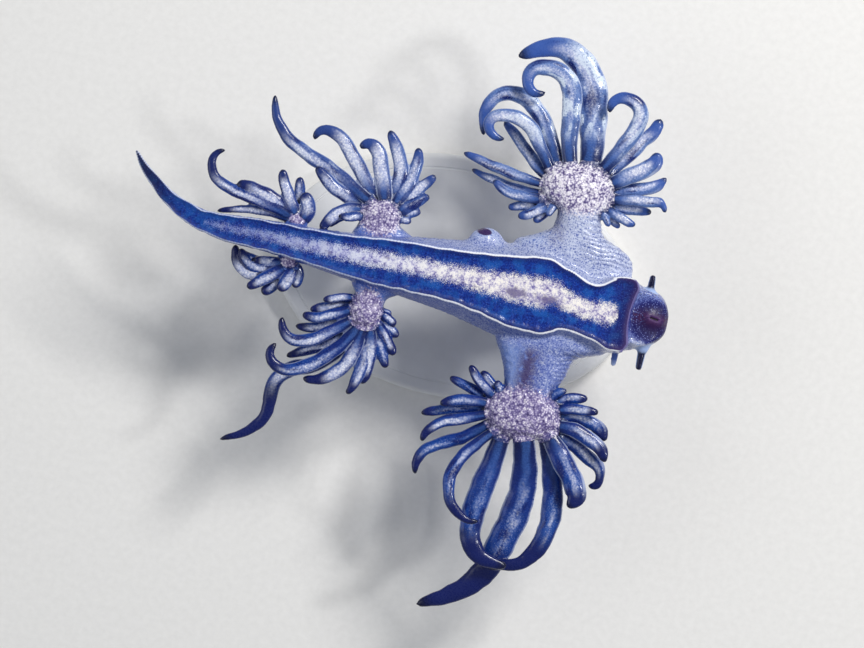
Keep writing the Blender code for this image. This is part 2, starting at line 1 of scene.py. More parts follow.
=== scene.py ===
"""Looks of the blue dragon sea slug: one wet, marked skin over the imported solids, and its stand.

Sizes are millimetres in the row frame until a mesh is made, which is then in metres.
"""

import math
from types import SimpleNamespace

import bpy
import numpy as np
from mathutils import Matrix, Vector


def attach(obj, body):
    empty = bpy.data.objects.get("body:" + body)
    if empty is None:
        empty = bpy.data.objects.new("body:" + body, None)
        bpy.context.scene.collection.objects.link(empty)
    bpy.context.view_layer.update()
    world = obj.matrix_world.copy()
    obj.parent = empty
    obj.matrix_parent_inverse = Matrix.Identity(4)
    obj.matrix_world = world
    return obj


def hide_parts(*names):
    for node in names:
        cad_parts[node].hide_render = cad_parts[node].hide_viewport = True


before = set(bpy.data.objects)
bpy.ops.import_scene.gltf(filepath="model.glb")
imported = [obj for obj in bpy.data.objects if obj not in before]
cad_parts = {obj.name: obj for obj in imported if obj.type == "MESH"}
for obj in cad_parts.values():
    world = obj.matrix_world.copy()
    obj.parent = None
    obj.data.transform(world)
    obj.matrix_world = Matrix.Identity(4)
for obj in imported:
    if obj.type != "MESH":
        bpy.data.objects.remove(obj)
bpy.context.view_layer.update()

MM = 0.001

# The body from the tail's tip to the snout:
# place along X, Y of its middle, foot width, flank width, thickness, height of the sole.
BODY = (
    (-24.4, 4.05, 0.12, 0.16, 0.25, 11.7),
    (-23.6, 3.05, 0.52, 0.58, 0.45, 11.8),
    (-22.6, 2.15, 0.75, 0.82, 0.6, 11.87),
    (-21.3, 1.15, 0.95, 1.04, 0.78, 11.93),
    (-20.1, 0.55, 1.22, 1.32, 0.92, 11.96),
    (-18.5, 0.05, 1.45, 1.58, 1.12, 12.0),
    (-16.6, -0.1, 1.85, 2.0, 1.38, 12.0),
    (-14.4, -0.05, 2.05, 2.25, 1.62, 12.0),
    (-12.2, -0.1, 2.2, 2.5, 1.9, 12.0),
    (-9.9, -0.18, 2.45, 2.9, 2.2, 12.0),
    (-7.7, -0.22, 2.8, 3.4, 2.55, 12.0),
    (-5.5, -0.2, 3.2, 3.95, 2.85, 12.0),
    (-3.3, -0.12, 3.35, 4.5, 3.15, 12.0),
    (-0.4, -0.1, 3.62, 5.3, 3.5, 12.0),
    (2.25, -0.15, 4.2, 6.3, 3.95, 12.0),
    (4.5, -0.25, 5.0, 7.0, 4.3, 12.0),
    (6.3, -0.2, 5.38, 7.1, 4.4, 12.0),
    (7.8, -0.2, 4.55, 6.7, 4.35, 12.0),
    (9.3, -0.4, 3.62, 6.0, 4.15, 12.0),
    (10.5, -0.5, 3.9, 5.6, 3.9, 12.0),
    (11.6, -0.45, 4.95, 5.55, 3.65, 12.0),
    (12.35, -0.3, 5.3, 5.5, 3.45, 12.0),
    (12.7, -0.3, 4.95, 5.2, 3.4, 12.0),
    (12.9, -0.3, 4.25, 5.0, 3.25, 11.95),
    (13.08, -0.3, 3.6, 4.85, 2.85, 11.45),
    (13.8, -0.26, 3.8, 4.55, 2.7, 11.4),
    (14.6, -0.26, 3.4, 4.2, 2.5, 11.3),
    (15.0, -0.27, 3.0, 3.7, 2.3, 11.2),
    (15.35, -0.29, 2.35, 2.95, 1.95, 11.05),
    (15.64, -0.3, 1.55, 2.05, 1.45, 10.8),
    (15.82, -0.3, 0.8, 1.2, 0.8, 10.45),
)

# The foot's margin: how far it is raised, at most what share of the foot's width, its ripple,
# where the finer steps of the front start, where the margin turns across, and the front's bow.
RIM = 0.16
RIM_OF_FOOT = 0.12
MARGIN_RIPPLE = 0.035
FRONT_START = 11.6
FOOT_END = 12.95
FRONT_BOW = 0.07

# Half a body section, from the middle of the sole to the middle of the back:
# shares of half the foot, half the flank, the thickness and the rim.
SECTION = (
    (0.0, 0.0, 0.0, 0.0),
    (0.45, 0.0, 0.0, -0.1),
    (0.8, 0.0, 0.0, 0.0),
    (0.94, 0.0, 0.0, 0.6),
    (1.03, 0.0, 0.0, 0.6),
    (0.6, 0.4, -0.1, 0.0),
    (0.0, 1.0, -0.42, 0.0),
    (0.0, 0.92, -0.66, 0.0),
    (0.0, 0.66, -0.86, 0.0),
    (0.0, 0.34, -0.97, 0.0),
    (0.0, 0.0, -1.0, 0.0),
)

# Each limb from inside the body out to the end of its pad:
# distance out along Y, X of its middle, height, half its width, half its thickness.
LIMB_FRONT_LEFT = (
    (1.5, 7.8, 10.0, 4.5, 1.5),
    (3.3, 7.7, 10.1, 4.1, 1.45),
    (4.25, 6.9, 10.15, 2.85, 1.35),
    (5.7, 7.05, 10.25, 2.27, 1.2),
    (7.1, 6.95, 10.35, 1.85, 1.1),
    (8.0, 6.9, 10.4, 2.5, 1.1),
    (8.9, 6.84, 10.4, 2.65, 1.1),
    (9.9, 6.84, 10.35, 2.2, 0.95),
    (10.64, 6.84, 10.25, 1.0, 0.45),
)
LIMB_FRONT_RIGHT = (
    (1.5, 8.0, 10.0, 4.5, 1.5),
    (3.4, 8.0, 10.1, 4.3, 1.45),
    (4.2, 8.4, 10.15, 3.25, 1.35),
    (5.0, 8.1, 10.2, 1.85, 1.25),
    (6.2, 7.9, 10.3, 1.6, 1.15),
    (7.1, 7.45, 10.4, 2.45, 1.1),
    (8.0, 7.32, 10.4, 2.6, 1.1),
    (8.9, 7.32, 10.35, 2.15, 0.95),
    (9.64, 7.32, 10.25, 1.0, 0.45),
)
LIMB_MID_LEFT = (
    (1.0, -5.3, 10.3, 2.2, 1.1),
    (2.0, -5.35, 10.35, 1.9, 1.0),
    (2.9, -5.7, 10.4, 1.15, 0.9),
    (3.8, -5.77, 10.4, 1.15, 0.9),
    (4.6, -5.77, 10.35, 1.0, 0.8),
    (5.26, -5.77, 10.25, 0.45, 0.35),
)
LIMB_MID_RIGHT = (
    (1.0, -5.6, 10.3, 2.5, 1.1),
    (1.9, -5.6, 10.35, 2.2, 1.0),
    (2.7, -6.1, 10.4, 1.45, 0.9),
    (3.3, -6.16, 10.4, 1.4, 0.9),
    (3.8, -6.16, 10.35, 1.1, 0.8),
    (4.2, -6.16, 10.25, 0.55, 0.4),
)
LIMB_REAR = (
    (0.5, -12.0, 10.8, 1.0, 0.6),
    (1.3, -12.0, 10.7, 0.8, 0.6),
    (1.75, -12.0, 10.6, 0.62, 0.5),
    (2.1, -12.0, 10.5, 0.3, 0.25),
)
LIMB_SQUARENESS = 2.3

# Each ceras of a fan, in turn round its pad:
# X and Y of its root, length, width, how far its tip lies over its root,
# and its heading at equal steps from root to tip.
CERATA_FRONT_LEFT = (
    (5.2, -7.7, 1.1, 0.65, 0.2, (130, 130)),
    (5.0, -7.8, 2.2, 0.8, -0.2, (140, 140)),
    (4.6, -8.0, 2.9, 0.8, 0.1, (150, 130)),
    (4.3, -8.3, 3.3, 0.8, -0.3, (160, 165)),
    (4.2, -8.6, 3.5, 0.9, 0.1, (175, 210)),
    (4.2, -8.9, 4.8, 0.9, -0.4, (190, 205)),
    (4.3, -9.4, 5.4, 0.9, 0.1, (205, 200, 200, 225, 270)),
    (4.5, -10.1, 6.9, 1.0, -0.6, (225, 220, 205, 210, 245, 300)),
    (5.0, -10.6, 9.0, 1.0, 0.7, (225, 230, 240, 265, 295, 330, 380)),
    (5.7, -11.0, 11.2, 1.85, -0.5, (265, 260, 260, 265, 285, 340, 375)),
    (7.32, -10.6, 16.0, 2.2, -2.5, (290, 280, 265, 255, 255, 230, 210, 205)),
    (8.95, -10.3, 12.2, 1.6, -1.3, (295, 290, 285, 275, 260, 240, 200, 190)),
    (9.2, -10.1, 5.6, 1.65, 0.2, (310, 310, 310, 305, 285, 195)),
    (9.5, -9.7, 5.9, 1.05, -0.8, (335, 340, 330, 325, 275, 160)),
    (9.6, -9.2, 4.4, 1.15, 0.1, (370, 345, 325, 290)),
    (9.5, -8.5, 4.0, 1.1, -0.4, (20, 0, -25, -85)),
    (9.4, -8.0, 2.8, 0.85, 0.2, (20, -5)),
    (9.1, -7.6, 2.4, 0.85, -0.2, (40, 0)),
    (8.7, -7.4, 1.4, 0.65, 0.2, (80, 0)),
)
CERATA_FRONT_RIGHT = (
    (6.0, 6.5, 1.0, 0.6, 0.2, (250, 250)),
    (5.8, 6.2, 1.6, 0.75, -0.1, (230, 230)),
    (5.5, 6.3, 2.3, 0.8, 0.2, (220, 205)),
    (5.1, 6.4, 2.5, 0.8, -0.2, (200, 195)),
    (4.9, 6.7, 3.8, 0.85, 0.1, (190, 175, 140)),
    (4.8, 7.1, 5.3, 0.75, -0.4, (185, 170, 165)),
    (4.7, 7.8, 6.1, 0.85, 0.1, (175, 170, 165)),
    (4.9, 8.4, 5.0, 0.95, -0.6, (140, 135, 145)),
    (5.1, 9.0, 8.7, 1.1, 0.6, (125, 125, 130, 170, 195, 300, 385)),
    (5.6, 9.5, 10.8, 1.3, -0.8, (115, 120, 130, 155, 210, 265, 295)),
    (6.5, 9.7, 11.8, 1.5, 0.4, (110, 100, 95, 105, 155, 200, 295, 405)),
    (7.95, 10.0, 12.7, 2.2, -1.2, (95, 100, 100, 120, 155, 205, 215)),
    (8.9, 9.7, 8.5, 1.25, 0.4, (60, 60, 65, 75, 140, 205, 290)),
    (9.3, 9.4, 5.7, 1.1, -0.6, (55, 55, 55, 80)),
    (9.7, 8.8, 4.2, 1.25, 0.1, (35, 35, 35, 50, 135)),
    (9.9, 8.2, 4.1, 1.0, -0.4, (20, 20, 25, 65)),
    (10.1, 7.7, 4.2, 0.85, 0.2, (10, 10, 10, -70)),
    (10.0, 7.2, 2.8, 0.8, -0.3, (0, 10)),
    (9.8, 6.9, 2.3, 0.75, 0.1, (-20, -15)),
    (9.6, 6.8, 1.7, 0.6, -0.1, (-40, -30)),
    (9.5, 6.7, 1.2, 0.55, 0.2, (-55, -50)),
)
CERATA_MID_LEFT = (
    (-6.9, -3.1, 2.2, 0.65, 0.1, (190, 205)),
    (-6.9, -3.5, 3.1, 0.9, -0.2, (200, 205)),
    (-6.9, -4.0, 3.6, 0.9, 0.1, (210, 205, 170)),
    (-6.8, -4.4, 4.2, 0.85, -0.3, (215, 210, 175)),
    (-6.7, -4.8, 6.5, 1.0, 0.5, (220, 220, 215, 195, 140, 80)),
    (-6.4, -5.1, 5.5, 0.95, -0.5, (235, 220, 205, 215)),
    (-6.1, -5.2, 9.0, 1.1, 0.3, (240, 235, 225, 215, 195, 130, 35)),
    (-6.2, -5.3, 13.9, 1.2, -2.2, (250, 235, 220, 195, 240, 280, 240, 210, 205)),
    (-5.8, -5.2, 6.3, 1.1, -0.3, (265, 260, 235, 210, 175)),
    (-5.5, -5.2, 5.0, 0.95, 0.1, (280, 275, 260, 240)),
    (-5.2, -5.1, 4.1, 1.05, -0.5, (285, 275, 255)),
    (-4.9, -5.0, 3.0, 0.9, 0.0, (300, 295)),
    (-4.7, -4.7, 2.5, 0.85, -0.3, (315, 305)),
    (-4.6, -4.3, 1.8, 0.75, 0.0, (330, 325)),
    (-4.6, -3.9, 1.3, 0.65, -0.1, (350, 315)),
    (-4.6, -3.6, 0.7, 0.5, 0.1, (350, 350)),
)
CERATA_MID_RIGHT = (
    (-7.4, 2.9, 1.7, 0.65, 0.5, (215, 195, 185)),
    (-7.5, 3.1, 2.8, 0.8, -0.2, (195, 210, 245)),
    (-7.6, 3.3, 3.5, 1.0, 0.2, (185, 220, 250)),
    (-7.6, 3.7, 4.4, 1.1, 0.3, (175, 160, 145, 135)),
    (-7.2, 4.0, 10.9, 1.15, -1.0, (155, 150, 160, 155, 125, 95)),
    (-6.6, 4.1, 7.8, 1.15, 0.2, (135, 130, 130, 130, 140, 185, 280)),
    (-6.0, 4.2, 5.3, 1.25, -0.4, (110, 110, 110, 110, 150, 275)),
    (-5.6, 4.2, 5.5, 1.15, 0.2, (75, 85, 105, 125, 120)),
    (-5.3, 4.1, 4.6, 1.05, -0.4, (65, 70, 85, 105)),
    (-5.0, 3.9, 3.6, 0.9, 0.1, (60, 50, 55)),
    (-4.9, 3.6, 2.5, 0.85, -0.2, (45, 35)),
    (-4.8, 3.3, 1.6, 0.7, 0.1, (30, 25)),
    (-4.8, 3.1, 0.9, 0.55, -0.1, (0, 0)),
)
CERATA_REAR_LEFT = (
    (-12.2, -1.9, 5.2, 1.05, -0.8, (225, 215, 185, 160, 115, 95)),
    (-12.4, -1.8, 3.8, 0.9, 0.0, (215, 200, 180, 135, 120)),
    (-12.4, -1.7, 3.2, 0.8, -0.5, (200, 190, 165, 140)),
    (-12.4, -1.6, 2.1, 0.7, 0.2, (190, 190)),
    (-12.2, -2.0, 3.1, 0.95, 0.0, (225, 215)),
    (-11.9, -2.0, 2.7, 1.05, -0.3, (245, 225)),
    (-11.6, -1.9, 2.0, 1.0, 0.1, (265, 235)),
    (-11.4, -1.7, 1.7, 0.9, -0.2, (305, 245)),
)
CERATA_REAR_RIGHT = (
    (-12.5, 1.7, 8.8, 0.95, -0.2, (165, 165, 170, 170, 150, 95, 10)),
    (-12.3, 1.8, 4.8, 1.15, 0.3, (150, 160, 180)),
    (-12.1, 1.9, 3.5, 0.95, -0.1, (130, 120, 110)),
    (-12.0, 2.0, 2.7, 0.9, -0.4, (100, 100)),
    (-11.6, 1.6, 2.2, 1.15, 0.0, (55, 85, 125, 130)),
    (-12.5, 1.6, 3.3, 0.85, -0.5, (175, 170)),
    (-12.5, 1.4, 5.5, 0.65, -0.9, (165, 180, 190, 205)),
)

# Side, limb and cerata.
LIMBS = (
    (-1, LIMB_FRONT_LEFT, CERATA_FRONT_LEFT),
    (1, LIMB_FRONT_RIGHT, CERATA_FRONT_RIGHT),
    (-1, LIMB_MID_LEFT, CERATA_MID_LEFT),
    (1, LIMB_MID_RIGHT, CERATA_MID_RIGHT),
    (-1, LIMB_REAR, CERATA_REAR_LEFT),
    (1, LIMB_REAR, CERATA_REAR_RIGHT),
)

# A ceras is a flattened tube. Share of its length, then share of its full width,
# for the shortest and for the longest.
CERAS_SHORT_TAPER = ((0.0, 0.75), (0.12, 0.9), (0.4, 1.0), (0.75, 0.92), (0.9, 0.7), (1.0, 0.4))
CERAS_LONG_TAPER = ((0.0, 0.72), (0.12, 0.85), (0.4, 1.0), (0.7, 0.8), (0.9, 0.5), (1.0, 0.3))
# Lengths at which the tapers hold, rise and fall of neighbours, thickness and its share of the
# width, how far the root is sunk in its pad, and the waves in width and line.
CERAS_SHORT = 3.0
CERAS_LONG = 12.0
CERAS_STAGGER = 0.18
CERAS_THICKNESS = 0.36
CERAS_FULLNESS = 0.22
CERAS_SUNK = 0.55
CERAS_WAVE = 0.02

# Head: root, tip and width of each feeler.
ORAL_TENTACLES = (
    ((14.4, -1.0, 10.4), (14.4, -4.0, 10.7), 0.74),
    ((14.1, 0.8, 10.4), (14.05, 3.0, 10.7), 0.68),
)
RHINOPHORES = (
    ((12.4, -1.6, 9.9), (12.42, -4.1, 9.1), 0.5),
    ((13.15, 0.6, 9.8), (13.2, 2.1, 7.2), 0.58),
)

# Mouth: its middle, the lips' size, height and fall for each mm towards the snout, the turn of
# the slit, and the number of furrows round it.
MOUTH = (14.74, -0.12)
LIPS_SIZE = (1.75, 1.3, 0.44)
LIPS_HEIGHT = 11.23
LIPS_SLOPE = 0.25
LIPS_TILT = 0.14
FURROWS = 13

# The genital papilla, a low ball on the right flank.
PAPILLA_MIDDLE = (1.75, 2.35, 10.4)
PAPILLA_RADII = (1.5, 1.6, 0.9)

# Marks, each with X and Y of its middle, half length and half width: the pads of cerata,
# the papilla's dark spot, the violet smudges on the band, the pale cheek, and the head's disc,
# whose last number squares it.
PADS = (
    (6.84, -8.89, 2.65, 1.75),
    (7.32, 7.99, 2.55, 1.65),
    (-6.16, 2.9, 1.375, 1.2),
    (-5.77, -3.81, 1.05, 1.45),
    (-12.0, 1.6, 0.5, 0.35),
    (-12.0, -1.6, 0.5, 0.35),
)
SPOT = (1.44, 3.52, 0.62, 0.3)
SMUDGES = ((4.5, -0.35, 0.95, 0.45), (7.0, -0.45, 1.2, 0.5))
CHEEK = (14.1, -2.2, 0.65, 0.4)
HEAD_DISC = (14.7, -0.38, 1.95, 1.8, 2.3)

# The silver band on the foot: X, Y of its middle, half its width.
BAND = (
    (-18.6, -0.05, 0.02),
    (-17.4, -0.06, 0.22),
    (-14.5, -0.07, 0.34),
    (-12.2, -0.08, 0.45),
    (-7.7, -0.09, 0.58),
    (-2.6, 0.04, 0.62),
    (1.8, 0.02, 0.78),
    (4.1, 0.0, 0.98),
    (6.5, 0.05, 1.1),
    (7.4, 0.22, 0.86),
    (8.3, -0.17, 0.74),
    (10.0, -0.46, 0.7),
    (11.2, -0.44, 0.8),
    (11.7, -0.42, 0.7),
    (12.0, -0.42, 0.4),
    (12.2, -0.42, 0.0),
)

# How far bumps and wrinkles rise, and how close the arms' wrinkles are.
BUMP_RISE = 0.014
PAD_RISE = 0.03
CERAS_RISE = 0.012
WRINKLE_RISE = 0.024
WRINKLE_RATE = 19
FURROW_RISE = 0.007
LIPS_RISE = 0.03
SLIT_DEPTH = 0.2

# The stand: the base's half sizes, height, bent edge and groove, and each rod's place and radius.
BASE_RADII = (13.5, 9.0)
BASE_HEIGHT = 2.0
BASE_BEND = 0.45
GROOVE_DEPTH = 0.05
RODS = {"front": (6.0, -0.2), "rear": (-5.0, -0.2)}
ROD_RADIUS = 0.75

# Fineness: the skin's faces, the steps along body and limbs, the points of each ring, the waves
# in a random field, and how many points are measured at a time.
VOXEL = 0.08
BODY_STEP = 0.12
FRONT_STEP = 0.03
LIMB_STEP = 0.1
SECTION_POINTS = 61
RING_SIDES = 48
CERAS_RINGS = 60
CERAS_SIDES = 20
FEELER_RINGS = 40
FIELD_WAVES = 14
FIELD_BATCH = 20000

# Kinds of tube.
CERAS, ORAL, RHINO = range(3)

# The studio, in metres: place, size, power and colour of each light, the world and the camera.
LIGHTS = {
    "key": ((0.1, 0.165, 0.21), 0.07, 0.55, (1.0, 0.98, 0.95)),
    "fill": ((-0.26, -0.06, 0.22), 0.2, 0.2, (0.92, 0.96, 1.0)),
    "streak": ((0.22, 0.04, 0.24), 0.035, 0.22, (1.0, 1.0, 1.0)),
}
WORLD_COLOUR = (0.86, 0.9, 1.0, 1.0)
WORLD_STRENGTH = 0.27
FLOOR_HALF = 3.0
CAMERA_PLACE = (-0.00089, -0.00381, 0.311)
CAMERA_LENS = 172.8
CAMERA_TURN = 12


# Shapes, as arrays of rings of points.


def follow(stations, at):
    """The values of a table of stations at many places, on curves that never overshoot."""
    table = np.array(stations, float)
    places, values = table[:, 0], table[:, 1:]
    steps = np.diff(places)
    rises = np.diff(values, axis=0) / steps[:, None]
    slopes = np.zeros_like(values)
    product = rises[:-1] * rises[1:]
    total = rises[:-1] + rises[1:]
    same = product > 0
    slopes[1:-1][same] = 2 * product[same] / total[same]
    slopes[0], slopes[-1] = rises[0], rises[-1]
    at = np.atleast_1d(np.asarray(at, float))
    k = np.clip(np.searchsorted(places, at) - 1, 0, len(steps) - 1)
    t = ((at - places[k]) / steps[k])[:, None]
    start = (1 + 2 * t) * (1 - t) ** 2 * values[k] + t**2 * (3 - 2 * t) * values[k + 1]
    turn = t * (1 - t) ** 2 * slopes[k] - t**2 * (1 - t) * slopes[k + 1]
    return start + turn * steps[k][:, None]


def smooth(low, high, values):
    """Rises softly from 0 at low to 1 at high."""
    t = np.clip((values - low) / (high - low), 0, 1)
    return t * t * (3 - 2 * t)


def hill(values, middle, width):
    """1 at the middle, falling away softly on both sides."""
    return np.exp(-(((values - middle) / width) ** 2))


def smudge(points, x, y, length, width):
    """A soft mark, 1 at its middle."""
    return hill(points[:, 0], x, length) * hill(points[:, 1], y, width)


def oval(points, x, y, length, width, squareness=2):
    """1 at the middle of a mark and 0 at its edge."""
    u, v = np.abs(points[:, 0] - x) / length, np.abs(points[:, 1] - y) / width
    return 1 - (u**squareness + v**squareness) ** (1 / squareness)


def lumps(points, size, seed):
    """A soft random field of about that grain, from -1 to 1 at most places."""
    draw = np.random.default_rng(seed)
    total = np.zeros(len(points))
    for _ in range(FIELD_WAVES):
        way = draw.normal(size=3)
        way *= math.tau / (size * np.linalg.norm(way)) * draw.uniform(0.6, 1.3)
        total += np.sin(points @ way + draw.uniform(0, math.tau))
    return total / FIELD_WAVES**0.5


def circle(sides):
    """Cosine and sine of even steps round a circle."""
    angles = np.linspace(0, math.tau, sides, endpoint=False)
    return np.cos(angles), np.sin(angles)


def body_rings(places):
    """The body's sections, and the line of its foot's margin on both sides."""
    middle, foot, flank, thickness, sole = follow(BODY, places).T
    slope = np.gradient(middle, places)
    across = np.stack([-slope, np.ones_like(slope), 0 * slope], 1)
    across /= np.linalg.norm(across, axis=1)[:, None]
    rows = [(i, *row) for i, row in enumerate(SECTION)]
    a, b, c, d = follow(rows, np.linspace(0, len(SECTION) - 1, SECTION_POINTS)).T
    rim = np.minimum(RIM, RIM_OF_FOOT * foot)[:, None]
    edge = int(np.argmax(a[: SECTION_POINTS // 2]))
    rings, margins = [], []
    for side in (-1, 1):
        at = np.stack([places, np.full_like(places, side * 9.0), 0 * places], 1)
        ripple = MARGIN_RIPPLE * lumps(at, 1.3, 5) * np.minimum(foot, 1.0)
        u = a * (foot / 2 + ripple)[:, None] + b * flank[:, None] / 2
        v = c * thickness[:, None] + d * rim
        points = np.stack([places, middle, sole], 1)[:, None, :] + side * across[:, None, :] * u[..., None]
        points[..., 2] += v
        rings.append(points)
        margins.append(points[:, edge])
    left, right = rings
    return np.concatenate([left[:, :-1], right[:, :0:-1]], 1), margins


def limb_rings(stations, side):
    """The sections of a limb out to the end of its pad."""
    outs = np.arange(stations[0][0], stations[-1][0] + 0.01, LIMB_STEP)
    x, height, half_width, half_depth = follow(stations, outs).T
    power = 2 / LIMB_SQUARENESS
    u, v = (np.sign(w) * np.abs(w) ** power for w in circle(RING_SIDES))
    ring_x = x[:, None] + u * half_width[:, None]
    ring_z = height[:, None] + v * half_depth[:, None]
    return np.stack([ring_x, np.broadcast_to(side * outs[:, None], ring_x.shape), ring_z], 2)


def ceras_line(row, height, inward):
    """A ceras's middle line: points, share of its length, heading, half width, half thickness."""
    x, y, length, width, lift, headings = row
    shares = np.linspace(0, 1, CERAS_RINGS)
    middles = (shares[1:] + shares[:-1]) / 2
    places = np.linspace(0, 1, len(headings))
    turns = np.radians(np.interp(middles, places, headings))
    step = length / (CERAS_RINGS - 1)
    px = x + np.concatenate([[0], np.cumsum(np.cos(turns))]) * step
    py = y + np.concatenate([[0], np.cumsum(np.sin(turns))]) * step
    pz = height + lift * shares * (2 - shares)
    points = np.stack([px, py, pz], 1)
    sunk = points[0] + (inward - points[0]) / np.linalg.norm(inward - points[0]) * CERAS_SUNK
    points = np.concatenate([[sunk], points])
    shares = np.concatenate([[0], shares])
    turn = np.radians(np.interp(shares, places, headings))
    long = min(max((length - CERAS_SHORT) / (CERAS_LONG - CERAS_SHORT), 0), 1)
    taper = follow(CERAS_SHORT_TAPER, shares)[:, 0] * (1 - long)
    taper += follow(CERAS_LONG_TAPER, shares)[:, 0] * long
    end = np.sqrt(np.clip(1 - ((shares - 0.94) / 0.06).clip(0) ** 2, 0.004, 1))
    reach, phase = shares * length, 7.3 * x + 3.1 * y
    wave = 1 + CERAS_WAVE * (np.sin(2.3 * reach + phase) + 0.6 * np.sin(5.1 * reach + 2 * phase))
    sway = CERAS_WAVE * np.sin(3.1 * reach + phase) * smooth(0.3, 1.5, reach)
    points[:, :2] += sway[:, None] * np.stack([-np.sin(turn), np.cos(turn)], 1)
    half_width = width / 2 * taper * end * wave
    thickness = CERAS_THICKNESS + CERAS_FULLNESS * width
    half_depth = thickness / 2 * taper**0.5 * end
    return points, shares, turn, half_width, half_depth


def tube_rings(line):
    """The sections of a flattened tube along a middle line."""
    points, _, turn, half_width, half_depth = line
    c, s = circle(CERAS_SIDES)
    across = np.stack([-np.sin(turn), np.cos(turn), 0 * turn], 1)
    side = c[None, :, None] * half_width[:, None, None] * across[:, None, :]
    rise = s[None, :] * half_depth[:, None]
    rings = points[:, None, :] + side
    rings[..., 2] += rise
    return rings


def feeler_line(root, tip, width):
    """The middle line of a straight feeler, in the same form as a ceras's."""
    shares = np.linspace(0, 1, FEELER_RINGS)
    points = np.linspace(root, tip, FEELER_RINGS)
    turn = np.full(FEELER_RINGS, math.atan2(tip[1] - root[1], tip[0] - root[0]))
    end = np.sqrt(np.clip(1 - ((shares - 0.93) / 0.07).clip(0) ** 2, 0.004, 1))
    half = width / 2 * (1.0 - 0.4 * shares**2) * (1 + 0.5 * smooth(0.62, 0.42, shares)) * end
    return points, shares, turn, half, half


def ball_rings(middle, radii):
    """The sections of a ball of three radii along Z."""
    polar = np.linspace(0.02, math.pi - 0.02, 30)
    c, s = circle(RING_SIDES)
    x = np.sin(polar)[:, None] * c * radii[0] + middle[0]
    y = np.sin(polar)[:, None] * s * radii[1] + middle[1]
    z = np.broadcast_to(np.cos(polar)[:, None] * radii[2] + middle[2], x.shape)
    return np.stack([x, y, z], 2)


def shell_faces(rings):
    """Faces of a closed skin over rings: quads between them and one face at each end."""
    n, m = rings.shape[:2]
    i, j = np.meshgrid(np.arange(n - 1), np.arange(m), indexing="ij")
    near, far = (j + 1) % m, i + 1
    quads = np.stack([i * m + j, i * m + near, far * m + near, far * m + j], 2)
    return quads.reshape(-1, 4).tolist() + [list(range(m))[::-1], list(range((n - 1) * m, n * m))]


def add_object(name, data):
    """A new object in the scene."""
    piece = bpy.data.objects.new(name, data)
    bpy.context.scene.collection.objects.link(piece)
    return piece


def mesh_object(name, shells, scale=1.0):
    """One object of several closed skins."""
    points, faces = [], []
    for rings in shells:
        start = sum(len(p) for p in points)
        faces += [[start + k for k in face] for face in shell_faces(rings)]
        points.append(rings.reshape(-1, 3) * scale)
    mesh = bpy.data.meshes.new(name)
    mesh.from_pydata(np.concatenate(points), [], faces)
    mesh.update()
    return add_object(name, mesh)


def remeshed(piece, voxel):
    """The outer surface of a piece's skins, joined, in even small faces."""
    modifier = piece.modifiers.new("Remesh", "REMESH")
    modifier.mode = "VOXEL"
    modifier.voxel_size = voxel
    graph = bpy.context.evaluated_depsgraph_get()
    mesh = bpy.data.meshes.new_from_object(piece.evaluated_get(graph))
    piece.modifiers.clear()
    piece.data = mesh
    return piece


# The skin, and what each place on it is.


def read(items, name, width, kind=float):
    """One property of a mesh's corners or edges as an array."""
    flat = np.zeros(len(items) * width, kind)
    items.foreach_get(name, flat)
    return flat.reshape(-1, width)


def relaxed(points, edges, turns, keep=None):
    """Moves each corner halfway towards the middle of its neighbours, some times over."""
    a, b = edges.T
    count = np.bincount(a, minlength=len(points)) + np.bincount(b, minlength=len(points))
    for _ in range(turns):
        middle = np.empty_like(points)
        for axis in range(3):
            total = np.bincount(a, points[b, axis], len(points))
            total += np.bincount(b, points[a, axis], len(points))
            middle[:, axis] = total / np.maximum(count, 1)
        step = 0.5 * (middle - points)
        points = points + (step if keep is None else step * keep[:, None])
    return points


def tube_field(points, lines):
    """For each point the nearest tube: closeness, its number, share along it, share across."""
    best = np.full(len(points), 9.0)
    which = np.zeros(len(points), int)
    along, side = np.zeros((2, len(points)))
    for number, (middle, shares, turn, half_width, half_depth) in enumerate(lines):
        reach = half_width.max() + 0.5
        low, high = middle.min(0) - reach, middle.max(0) + reach
        near = np.flatnonzero(((points > low) & (points < high)).all(1))
        wide = np.maximum(half_width, 0.12)
        thick = np.maximum(half_depth, 0.12)
        delta = points[near][:, None, :] - middle[None, :, :]
        ahead = delta[..., 0] * np.cos(turn) + delta[..., 1] * np.sin(turn)
        lateral = (delta[..., 1] * np.cos(turn) - delta[..., 0] * np.sin(turn)) / wide
        far = lateral**2 + (delta[..., 2] / thick) ** 2 + (ahead / 0.2) ** 2
        nearest = far.argmin(1)
        rows = np.arange(len(near))
        closeness = np.sqrt(far[rows, nearest])
        won = closeness < best[near]
        target = near[won]
        best[target] = closeness[won]
        which[target] = number
        along[target] = shares[nearest[won]]
        side[target] = lateral[rows[won], nearest[won]]
    return best, which, along, side


def bowed(points):
    """Points with the corners of the foot's front edge drawn out ahead of its middle."""
    moved = points.copy()
    near = smooth(FRONT_START, 12.8, points[:, 0]) * smooth(13.9, 13.1, points[:, 0])
    moved[:, 0] += FRONT_BOW * np.clip(points[:, 1] + 0.3, -1.9, 1.9) ** 2 * near
    return moved


def margin_lines(places, margins):
    """The foot's margin: up the left side, across the front, and back down the right side."""
    left, right = (line[places < FOOT_END] for line in margins)
    front = np.linspace(left[-1], right[-1], 120)
    return [bowed(line) for line in (left, front, right[::-1])]


